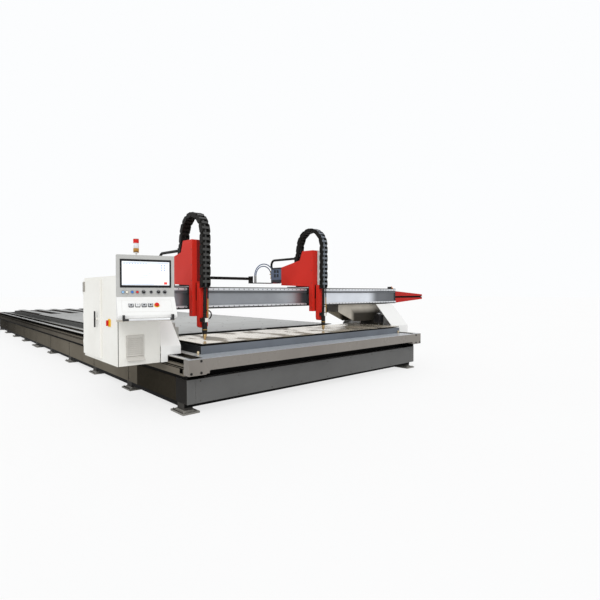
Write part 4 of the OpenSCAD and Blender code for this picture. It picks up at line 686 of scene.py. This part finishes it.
chain_low, chain_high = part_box("bridge_chain")
bend_with("bridge_chain", "bridge", "station_2", (chain_low.x + 0.1, 0, chain_low.z + 0.08),
          (chain_low.x + 0.25, 0, chain_high.z - 0.04), chain_black)


# Cable arm: red welded plates that taper away from the bridge's right end, with a dark slot
# between the upper and the lower pair. It carries the end of the long floor chain.
# Painted shade: the arm is a darker copy of the machine's red, and its web and middle slot are painted near
# black.
arm_shaded_red = painted("arm_shaded_red", (178, 34, 28), (140, 24, 20), 0.35, 2.4, 0.46, 0.14, shine=0.12)
arm_low, arm_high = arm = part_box("cable_arm")
arm_plate, arm_slot, arm_mid = 0.02, 0.018, (arm_low.z + arm_high.z) / 2
between = (arm_low.y + arm_plate, arm_high.y - arm_plate)
finish_zone(arm_shaded_red, *around(arm, clear, y=between, z=(1.0, 1.4)), (20, 14, 13), 0.7)
finish_zone(arm_shaded_red, *around(arm, clear, z=(arm_mid - arm_slot, arm_mid + arm_slot)), (16, 12, 11), 0.7)
dress(arm_shaded_red, "cable_arm", round_edge=0.002)


# Carriages: grey fabricated frames on recirculating blocks, each with an upright gearmotor, pale
# at the left and black at the right. The pinions hang from the motors and roll along the racks.
frame_beige = painted("carriage_paint", (186, 181, 171), (140, 134, 124), 0.5, 3.0, 0.36, 0.3)
knee_tip, knee_shade_start, post_face = base.x + 3.185, base.x + 3.5, base.x + 4.13
beam_mid = (beam_low.y + beam_high.y) / 2
# Painted shade: the knee darkens towards the post.
finish_zone(frame_beige, (knee_shade_start, beam_mid - 1, 0), (post_face + 1, beam_mid + 1, 1.02),
            (46, 43, 37), 0.7, soft=0.1)
# Painted shade: the knee's end plate is painted a darker grey.
finish_zone(frame_beige, (knee_tip - clear, beam_mid - 0.3, 0.6), (knee_tip + 0.002, beam_mid + 0.3, 1.1),
            (84, 82, 78))
dress(frame_beige, "carriage_frames", round_edge=0.002)
dress(rail_steel, "bearing_blocks")
motor_low, motor_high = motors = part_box("gearmotors")
motor_black = painted("motor_black", (26, 26, 28), (56, 54, 52), 0.3, 8.0, 0.34, 0.3)
bright_ring, left_motor = (motor_high.z - 0.03, motor_high.z - 0.018), (motor_low.x - clear, motor_low.x + 1)
finish_zone(motor_black, *around(motors, clear, z=bright_ring), (150, 150, 152), 0.3, 0.8)
finish_zone(motor_black, *around(motors, clear, x=left_motor), (176, 175, 170))
dress(motor_black, "gearmotors", round_edge=0.003)
pinion_steel = ground("pinion_steel", (150, 150, 152), (60, 54, 46), (1.0, 1.0, 0.05), 0.5, 0.3)
dress(pinion_steel, "left_pinion", "right_pinion")


# Carriage covers: white sheet hoods folded over the carriages, open towards the bed.
# Small screws hold the right one along its lower outer edge.
# Painted light: the hoods are a brighter copy of the cabinet's white; painted shade darkens them towards the
# right-hand hood.
hood_lit_white = painted("hood_lit_white", (251, 251, 249), (236, 234, 228), 0.3, 1.6, 0.36, 0.12)
shade_along(hood_lit_white, 1.0, 3.0, 0.84, "X")
dress(hood_lit_white, "carriage_covers", round_edge=0.002)
cover_low, cover_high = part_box("carriage_covers")
cover_screws = bmesh.new()
for y in spaced(cover_low.y, cover_high.y, 0.06, 6):
    screw(cover_screws, (cover_high.x, y, 0.62), (1, 0, 0))
make_piece("cover_screws", cover_screws, zinc, "bridge")


# Console cabinet: a white sheet enclosure on the left carriage, its door over the rear of the left
# face, a fan grille and hood in front, a black swing handle and a red isolator on a yellow plate.
def collar(mesh, origin, axis, outer, bore, height, square=(False, False), sides=32):
    """Adds a flat frame round a bore; its rim and its bore are each round or square."""
    spin = Vector(axis).to_track_quat("Z", "Y").to_matrix()
    rings = []
    for radius, boxed, z in ((outer, square[0], 0.0), (outer, square[0], 0.7 * height),
                             (outer - 0.3 * height, square[0], height), (bore, square[1], height),
                             (bore, square[1], 0.0)):
        ring = []
        for i in range(sides):
            a = 2 * math.pi * (i + 0.5) / sides
            reach = radius / max(abs(math.cos(a)), abs(math.sin(a))) if boxed else radius
            spoke = Vector((reach * math.cos(a), reach * math.sin(a), z))
            ring.append(mesh.verts.new(Vector(origin) + spin @ spoke))
        rings.append(ring)
    join_rings(mesh, rings + rings[:1])


fitting_grey = painted("fitting_grey", (206, 203, 196), (168, 163, 155), 0.4, 5.0, 0.4, 0.2)
dress(fitting_grey, "cabinet_fittings", round_edge=0.001)
handle_black = painted("handle_black", (22, 22, 23), (42, 40, 38), 0.3, 20.0, 0.4, 0.2, shine=0.14)
lever_high, lever_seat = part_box("door_handle")[1], 0.0195
finish_zone(handle_black, lever_high - Vector((lever_seat, 1, 1)), lever_high + Vector((clear, 1, 1)),
            (236, 234, 228))
dress(handle_black, "door_handle", round_edge=0.003)
cover_white = painted("cover_white", (240, 239, 233), (216, 212, 202), 0.3, 1.6, 0.36, 0.12)
shell_low, shell_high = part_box("cabinet_shell")
finish_zone(cover_white, (shell_low.x + 0.005, shell_low.y - 0.002, shell_low.z - clear),
            (shell_low.x + 0.012, shell_low.y + 0.003, shell_high.z - 0.002), (30, 29, 27), 0.7)
dress(cover_white, "cabinet_shell", "cabinet_door", round_edge=0.003)
isolator_red = painted("isolator_red", (206, 30, 26), (150, 20, 18), 0.25, 20.0, 0.26, 0.0, 0.02)
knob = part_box("isolator")
knob_mid = (knob[0] + knob[1]) / 2
finish_zone(isolator_red, *around(knob, clear, x=(shell_low.x - 0.0125, shell_low.x + 0.02)),
            (236, 190, 40), 0.36)
dress(isolator_red, "isolator", round_edge=0.002)
warm_yellow = painted("isolator_yellow", (236, 190, 40), (196, 150, 30), 0.3, 20.0, 0.36, 0.0, 0.03)
isolator_plate = bmesh.new()
collar(isolator_plate, (shell_low.x, knob_mid.y, knob_mid.z), (-1, 0, 0), 0.042, 0.0315, 0.004,
       (True, False))
make_piece("isolator_plate", isolator_plate, warm_yellow, "bridge")
door_low, door_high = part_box("cabinet_door")
vent_t, vent_w, vent_h = 0.004, 0.086, 0.12
louvre_count, louvre_in, louvre_start, louvre_pitch, louvre_h = 9, 0.008, 0.012, 0.0115, 0.006
vent_low = Vector((door_low.x - vent_t, door_high.y - 0.1, door_high.z - 0.135))
vent = bmesh.new()
slab(vent, vent_low, vent_low + Vector((vent_t, vent_w, vent_h)), 0.0012)
for k in range(louvre_count):
    louvre = vent_low + Vector((0, louvre_in, louvre_start + louvre_pitch * k))
    slab(vent, louvre - Vector((vent_t, 0, 0)),
         louvre + Vector((0.001, vent_w - 2 * louvre_in, louvre_h)), 0.001)
vent_grey = painted("vent_grey", (172, 168, 160), (132, 126, 118), 0.5, 16.0, 0.4, 0.2)
make_piece("door_vent", vent, vent_grey, "door")
edge_in, small_head = 0.03, 0.006
shell_screws = bmesh.new()
for y in (shell_low.y + edge_in, shell_high.y - edge_in):
    for k in range(5):
        screw(shell_screws, (shell_high.x - edge_in - k * 0.098, y, shell_high.z), (0, 0, 1), small_head)
for k in range(6):
    for x in (shell_low.x + edge_in, shell_high.x - edge_in):
        screw(shell_screws, (x, shell_high.y, shell_low.z + 0.06 + k * 0.16), (0, 1, 0), small_head)
make_piece("cabinet_screws", shell_screws, zinc, "bridge")


# Signal light: a white foot and pole with three ribbed lenses between pale rings, red over
# clear over amber. It stands on the cabinet's roof.
light_low, light_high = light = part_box("stack_light")
light_mid = (light_low + light_high) / 2
lens_h, rib_foot, rib_count, rib_ring = 0.0485, 0.0475, 20, 0.0292
light_plastic = painted("light_plastic", (226, 226, 224), (190, 188, 184), 0.3, 12.0, 0.3, 0.0, 0.02)
rib_plastic = painted("rib_plastic", (226, 226, 224), (190, 188, 184), 0.3, 12.0, 0.2, 0.0, 0.02)
ribs = bmesh.new()
for drop, lens, rib in ((0.0055, (214, 36, 28), (224, 44, 36)), (0.0595, (236, 238, 240), (240, 242, 244)),
                        (0.1135, (190, 140, 60), (200, 150, 66))):
    band = around(light, clear, z=(light_high.z - drop - lens_h, light_high.z - drop))
    finish_zone(light_plastic, *band, lens, 0.16)
    finish_zone(rib_plastic, *band, rib, 0.14)
    for k in range(rib_count):
        a = 2 * math.pi * k / rib_count
        turn(ribs, [(0.0012, 0.0), (0.0022, 0.002), (0.0022, 0.044), (0.0012, 0.046)],
             (light_mid.x + rib_ring * math.cos(a), light_mid.y + rib_ring * math.sin(a),
              light_high.z - drop - rib_foot), sides=6)
dark_foot = (light_high.z - 0.1625, light_high.z - 0.142)
finish_zone(light_plastic, *around(light, clear, z=dark_foot), (40, 48, 66), 0.2)
dress(light_plastic, "stack_light")
make_piece("lens_ribs", ribs, rib_plastic, "bridge")


# Operator head: a light grey housing with a black-framed lit screen, over a white sloping key
# panel; a bright grab rail on black arms runs along its foot. It swivels on the cabinet's front.
head_turn = Matrix.Rotation(math.radians(-15), 4, "Z")
head_place = Matrix.Translation((base.x - 0.320, base.y + 0.294, 0)) @ head_turn
head_front, head_foot, shaded_lip_h = 0.1, 1.25, 0.024
head_grey = painted("head_grey", (186, 186, 183), (164, 163, 159), 0.3, 6.0, 0.42, 0.05, 0.1)
dress(head_grey, "head_shell", round_edge=0.006)
keypad_white = painted("keypad_white", (237, 237, 235), (218, 217, 212), 0.3, 6.0, 0.44, 0.05, 0.1)
keypad_low, keypad_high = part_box("keypad_box")
# Painted shade: the keypad box's lower front lip is painted a darker warm grey.
finish_zone(keypad_white, keypad_low - Vector((0.1, 0.1, clear)),
            (keypad_high.x + 0.1, keypad_high.y, keypad_low.z + shaded_lip_h), (204, 196, 182), 0.5)
dress(keypad_white, "keypad_box", round_edge=0.005)
screen_black = painted("screen_border", (16, 17, 19), (30, 31, 34), 0.2, 12.0, 0.16, 0.0, 0.01)
dress(screen_black, "screen", round_edge=0.0015)
glass = head_front + 0.004


def on_glass(name, blocks, proud, soft, look, sunk=0.0):
    """Flat lit blocks (left, foot, width, height) on the glass, faintly uneven as a backlight is."""
    material_name, colour, shade, strength = look
    material = painted(material_name, colour, shade, 0.35, 5.0, 0.2, 0.0, 0.01)
    shell = material.node_tree.nodes["Principled BSDF"]
    coat = shell.inputs["Base Color"].links[0].from_socket
    material.node_tree.links.new(coat, shell.inputs["Emission Color"])
    shell.inputs["Emission Strength"].default_value = strength
    mesh = bmesh.new()
    for x, z, width, height in blocks:
        foot = head_foot + z
        slab(mesh, (x, -glass - proud, foot), (x + width, -glass + sunk, foot + height), soft)
    make_piece(name, mesh, material, "head", head_place)


on_glass("screen_picture", [(-0.23, 0.119, 0.46, 0.241)], 0.0008, 0.0003,
         ("screen_white", (236, 240, 244), (224, 230, 238), 0.28), 0.001)
marks = [(-0.222, 0.346, 0.444, 0.004), (-0.222, 0.126, 0.30, 0.003), (-0.10, 0.20, 0.12, 0.0025),
         (-0.03, 0.215, 0.05, 0.0025), (0.02, 0.24, 0.03, 0.0025)]
marks += [(0.145 + 0.03 * (k % 2), 0.318 - 0.024 * (k // 2), 0.012, 0.010) for k in range(6)]
marks += [(-0.215 + 0.026 * k, 0.334, 0.014, 0.006) for k in range(9)]
on_glass("screen_marks", marks, 0.0012, 0.0002, ("screen_blue", (132, 156, 192), (110, 134, 176), 0.2))
on_glass("screen_button", [(0.176, 0.128, 0.032, 0.024)], 0.0013, 0.0004,
         ("screen_red", (226, 70, 60), (200, 50, 44), 0.4))


# Head controls: four round lamps, a dial, a key lock and two selectors in metal rings under the
# screen; four square keys in dark frames and an emergency stop in a yellow collar on the slope.
lamp_clear = painted("lamp_clear", (190, 206, 222), (160, 180, 204), 0.2, 30.0, 0.16, 0.0, 0.01)
control_height, lamp_reach = head_foot + 0.05, Vector((0.017, 0.017, 0.02))
knobs = (("override_dial", -0.025), ("selector_1", 0.12), ("selector_2", 0.183))
rings = bmesh.new()
for x, colour in ((-0.221, (150, 190, 226)), (-0.184, (240, 234, 218)), (-0.134, (62, 120, 196)),
                  (-0.086, (206, 40, 36)), (0.048, (34, 34, 36))):
    spot = head_place @ Vector((x, -head_front - 0.007, control_height))
    finish_zone(lamp_clear, spot - lamp_reach, spot + lamp_reach, colour, 0.18)
    collar(rings, (x, -head_front, control_height), (0, -1, 0), 0.0165, 0.0125, 0.004)
dress(lamp_clear, "lamp_row", round_edge=0.002)
knob_black = painted("knob_black", (22, 22, 23), (44, 42, 40), 0.3, 24.0, 0.4, 0.1, shine=0.16)
for name, x in knobs:
    dress(knob_black, name, round_edge=0.0015)
    collar(rings, (x, -head_front, control_height), (0, -1, 0), 0.021, 0.0152, 0.003)
ring_metal = ground("ring_metal", (150, 152, 154), (96, 94, 90), (1, 1, 1), 0.3, 0.26, 0.9)
make_piece("control_rings", rings, ring_metal, "head", head_place)
pointer_white = painted("pointer_white", (238, 238, 236), (206, 204, 200), 0.3, 60.0, 0.4, 0.0, 0.02)
for name, x in knobs:
    pointer = bmesh.new()
    slab(pointer, (x - 0.001, -head_front - 0.0248, control_height + 0.002),
         (x + 0.001, -head_front - 0.0240, control_height + 0.0125), 0.0002)
    make_piece(name + "_pointer", pointer, pointer_white, name, head_place)

slope = math.atan2(0.155, 0.180)
slope_turn = Matrix.Rotation(math.pi / 2 - slope, 4, "X")
key_place = head_place @ Matrix.Translation((0, -head_front, head_foot)) @ slope_turn
key_down, key_pitch, first_key, key_count, key_half = -0.112, 0.061, -0.152, 4, Vector((0.008, 0.009, 0))
key_row = [first_key + k * key_pitch for k in range(key_count)]
key_grey = painted("key_grey", (188, 190, 192), (150, 150, 152), 0.25, 30.0, 0.3, 0.0, 0.05)
key_white = painted("key_white", (232, 233, 232), (200, 200, 198), 0.25, 30.0, 0.3, 0.0, 0.05)
dress(key_grey, "key_1", "key_3", "key_4", round_edge=0.003)
dress(key_white, "key_2", round_edge=0.003)
frames = bmesh.new()
for x in key_row:
    collar(frames, (x, key_down, 0), (0, 0, 1), 0.0235, 0.0206, 0.007, (True, True))
make_piece("key_frames", frames, knob_black, "head", key_place)
for k, x in enumerate(key_row, 1):
    key, cap = "key_%d" % k, bmesh.new()
    slab(cap, Vector((x, key_down, 0.0119)) - key_half, Vector((x, key_down, 0.0126)) + key_half, 0.0003)
    make_piece(key + "_mark", cap, key_grey if k == 2 else knob_black, key, key_place)
estop_red = painted("estop_red", (212, 30, 26), (170, 22, 20), 0.2, 30.0, 0.24, 0.0, 0.02)
dress(estop_red, "estop", round_edge=0.004)
estop_collar = bmesh.new()
collar(estop_collar, (first_key + key_count * key_pitch, key_down, 0), (0, 0, 1), 0.0275, 0.0135, 0.0028)
make_piece("estop_collar", estop_collar, warm_yellow, "head", key_place)
line_x, line_low, line_high, line_w = 0.239, -0.193, -0.041, 0.0015
outline = bmesh.new()
for x0, x1, y0, y1 in ((-line_x, line_x, line_high - line_w, line_high),
                       (-line_x, line_x, line_low, line_low + line_w),
                       (-line_x, line_w - line_x, line_low, line_high),
                       (line_x - line_w, line_x, line_low, line_high)):
    slab(outline, (x0, y0, -0.0004), (x1, y1, 0.0006), 0.0002)
make_piece("key_panel_line", outline, fitting_grey, "head", key_place)
rail_bright = ground("grab_rail_steel", (224, 225, 226), (196, 195, 192), (0.03, 0.2, 0.3), 0.3, 0.3, 0.5,
                     0.0)
for x in (-0.23, 0.23):
    spot = head_place @ Vector((x, -head_front - 0.186, head_foot - 0.21))
    finish_zone(rail_bright, spot - Vector((0.036, 0.05, 0.06)), spot + Vector((0.036, 0.05, 0.07)),
                (26, 26, 27), 0.4, 0.0)
dress(rail_bright, "grab_rail", round_edge=0.0015)


# Torch stations: red sheet housings on black saddles, with a blue-grey control box behind,
# a drag chain looping over the top, and the lifter with its torch in front.
def red_coat(name):
    """The machine's red enamel: even, a little mottled, worn bright on its edges."""
    return painted(name, (216, 48, 36), (184, 36, 28), 0.35, 2.4, 0.42, 0.14, shine=0.14)


link_black = painted("link_black", (22, 21, 19), (38, 36, 33), 0.35, 9.0, 0.42, 0.1, 0.12, shine=0.09)
fitting_brass = painted("fitting_brass", (190, 160, 104), (120, 92, 50), 0.6, 40.0, 0.3, 0.1, metal=0.6)
cable_black = painted("cable_black", (9, 9, 9), (20, 19, 18), 0.5, 40.0, 0.6, 0.0, 0.1, shine=0.08)
bend_radius, bend_y, bend_z = 0.265, 0.7397, 1.995
link_inside, cable_reach, cable_gap = 0.0365, 0.0165, 0.012
# The rungs are paler than the links; on station 2 they are a paler, bluer copy as painted highlight.
for i, rung_tone_and_highlight in (("1", (62, 62, 60)), ("2", (104, 110, 118))):
    station, lifter = "station_" + i, "lifter_" + i
    red_low, red_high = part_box("housing_" + i)
    slide_low, slide_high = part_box("lifter_slide_" + i)
    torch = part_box("torch_" + i)
    mid = (red_low.x + red_high.x) / 2
    dress(bracket_black, "saddle_" + i, round_edge=0.002)
    housing_red = red_coat("housing_red_" + i)
    # A white plate on the right of the housing front; painted shade in the groove beside the slide, and on
    # station 1 a darker red as painted shadow of its chain.
    plate_and_shade_strips = [(0.005, 0.096, 1.41, 1.936, (236, 234, 228), 0.4),
                    (-0.052, -0.031, 1.2, 1.41, (30, 10, 10), 0.6)]
    if i == "1":
        plate_and_shade_strips.append((-0.036, 0.03, 1.43, 1.936, (136, 26, 25), 0.5))
    for x0, x1, z0, z1, colour, rough in plate_and_shade_strips:
        finish_zone(housing_red, (mid + x0, red_low.y - skin, z0), (mid + x1, red_low.y + skin, z1),
                    colour, rough)
    dress(housing_red, "housing_" + i, round_edge=0.01)
    slide_red = red_coat("slide_red_" + i)
    finish_zone(slide_red, (mid - 0.07, slide_low.y - skin, 1.3), (mid + 0.07, slide_high.y - 0.0978, 1.4),
                (28, 28, 29), 0.4)
    # Painted shade: the slide's rear, in the gap before the housing, is painted dark red.
    finish_zone(slide_red, (slide_low.x, slide_high.y - 0.031, 1.0),
                slide_high + Vector((clear, clear, clear)), (40, 12, 11), 0.6)
    dress(slide_red, "lifter_slide_" + i, round_edge=0.003)

    # Control box: painted sheet with four dark windows in each side and connectors at its back.
    box_low, box_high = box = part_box("control_box_" + i)
    box_blue = painted("control_box_blue_" + i, (96, 110, 134), (70, 80, 98), 0.35, 5.0, 0.32, 0.2)
    window = Vector((0.003, 0.02, 0.02))
    finish_zone(box_blue, box_low + window, box_high - window, (18, 22, 30), 0.2)
    for rim in ((box_low.z - clear, box_low.z + 0.05), (box_high.z - 0.03, box_high.z + clear)):
        finish_zone(box_blue, *around(box, clear, z=rim), (46, 51, 57), 0.4)
    dress(box_blue, "control_box_" + i, round_edge=0.003)
    loom_black = painted("loom_black_" + i, (24, 24, 24), (46, 44, 42), 0.35, 9.0, 0.46, 0.1, 0.12,
                         shine=0.16)
    plug_z = box_low.z + 0.256 / 3
    plug_top = plug_z + 0.037
    finish_zone(loom_black, (box_low.x, box_high.y - skin, plug_z - 0.02),
                (box_high.x, box_high.y + 0.075, plug_top), (178, 146, 84), 0.3, 0.7)
    if i == "2":
        finish_zone(loom_black, (mid - 0.42, box_high.y + 0.03, plug_top),
                    (mid - 0.022, box_high.y + 0.07, 2.0), (58, 84, 122), 0.36)
        finish_zone(loom_black, (mid - 0.16, box_low.y, box_low.z - 0.02),
                    (mid + 0.01, box_high.y + 0.2, box_low.z), (196, 42, 34), 0.4)
    dress(loom_black, "rear_loom_" + i)
    fittings = bmesh.new()
    for dx, dz, length in ((0.03, 0.15, 0.07), (0.03, 0.195, 0.06), (0.075, 0.13, 0.08),
                           (0.075, 0.175, 0.065), (0.12, 0.155, 0.075), (0.12, 0.2, 0.06)):
        turn(fittings, [(0.017, 0.0), (0.017, 0.3 * length), (0.012, 0.34 * length), (0.012, 0.8 * length),
                        (0.008, length)], (box_low.x + dx, box_high.y, box_low.z + dz), (0, 1, 0), 12)
    make_piece("gas_fittings_" + i, fittings, fitting_brass, station)

    # Drag chain: moulded black links with paler cross bars, and black cables along their middle.
    # Painted highlight: station 2's rungs are paler and bluer than station 1's.
    rung_grey = painted("link_rung_" + i, rung_tone_and_highlight, (58, 58, 57), 0.5, 14.0, 0.3, 0.0, 0.1)
    low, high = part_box("drag_chain_" + i)
    chain = bend_with("drag_chain_" + i, station, lifter, (0, high.y - 0.06, 0), (0, low.y + 0.03, 0),
                      link_black, rung_grey, cable_black)
    for face in chain.data.polygons:
        across, drop = face.center.y - base.y - bend_y, face.center.z - bend_z
        off = (math.hypot(across, drop) if drop > 0 else abs(across)) - bend_radius
        aside = abs(face.center.x - mid)
        if aside < link_inside:
            cable = abs(off) < cable_reach and aside > cable_gap
            face.material_index = 2 if cable else int(off > 0)

    # Torch: black body with a brass nozzle and a gold ring, held in a white clamp block.
    torch_black = painted("torch_black_" + i, (24, 23, 22), (48, 44, 38), 0.35, 20.0, 0.4, 0.1, shine=0.18)
    for z0, z1, left, colour, rough, metal in ((0.72, 0.7955, 0.1, (198, 170, 122), 0.24, 0.9),
                                               (0.8465, 0.8520, 0.1, (214, 170, 90), 0.24, 0.9),
                                               (0.9395, 0.9875, 0.03, (226, 224, 218), 0.4, 0.0)):
        finish_zone(torch_black, *around(torch, clear, x=(mid - left, mid + 0.1), z=(z0, z1)),
                    colour, rough, metal)
    dress(torch_black, "torch_" + i)
    lead_black = painted("lead_sleeve_" + i, (26, 25, 24), (48, 45, 40), 0.5, 40.0, 0.6, 0.0, 0.3,
                         shine=0.16)
    lead_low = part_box("torch_leads_" + i)[0]
    for z0, z1, depth in ((0.9, 1.13, 0.0155), (1.13, 1.22, 0.0186)):
        finish_zone(lead_black, (mid - 0.003, lead_low.y - skin, z0), (mid + 0.036, lead_low.y + depth, z1),
                    (166, 132, 74), 0.3, 0.5)
    dress(lead_black, "torch_leads_" + i)

    # Screws: small buttons down the housing's seams and four in the torch clamp.
    station_screws = bmesh.new()
    for x, side in ((red_low.x, -1), (red_high.x, 1)):
        for k in range(5):
            screw(station_screws, (x, red_low.y + 0.018, 1.06 + 0.19 * k), (side, 0, 0), small_head)
        for k in range(4):
            screw(station_screws, (x, red_high.y - 0.02 - 0.12 * k, 1.43), (side, 0, 0), small_head)
    make_piece("housing_screws_" + i, station_screws, dark_screw, station)
    clamp_screws = bmesh.new()
    for x in (-0.046, 0.017):
        for z in (0.951, 0.976):
            screw(clamp_screws, (mid + x, torch[0].y, z), (0, -1, 0), 0.005)
    make_piece("clamp_screws_" + i, clamp_screws, black_bolt, lifter)
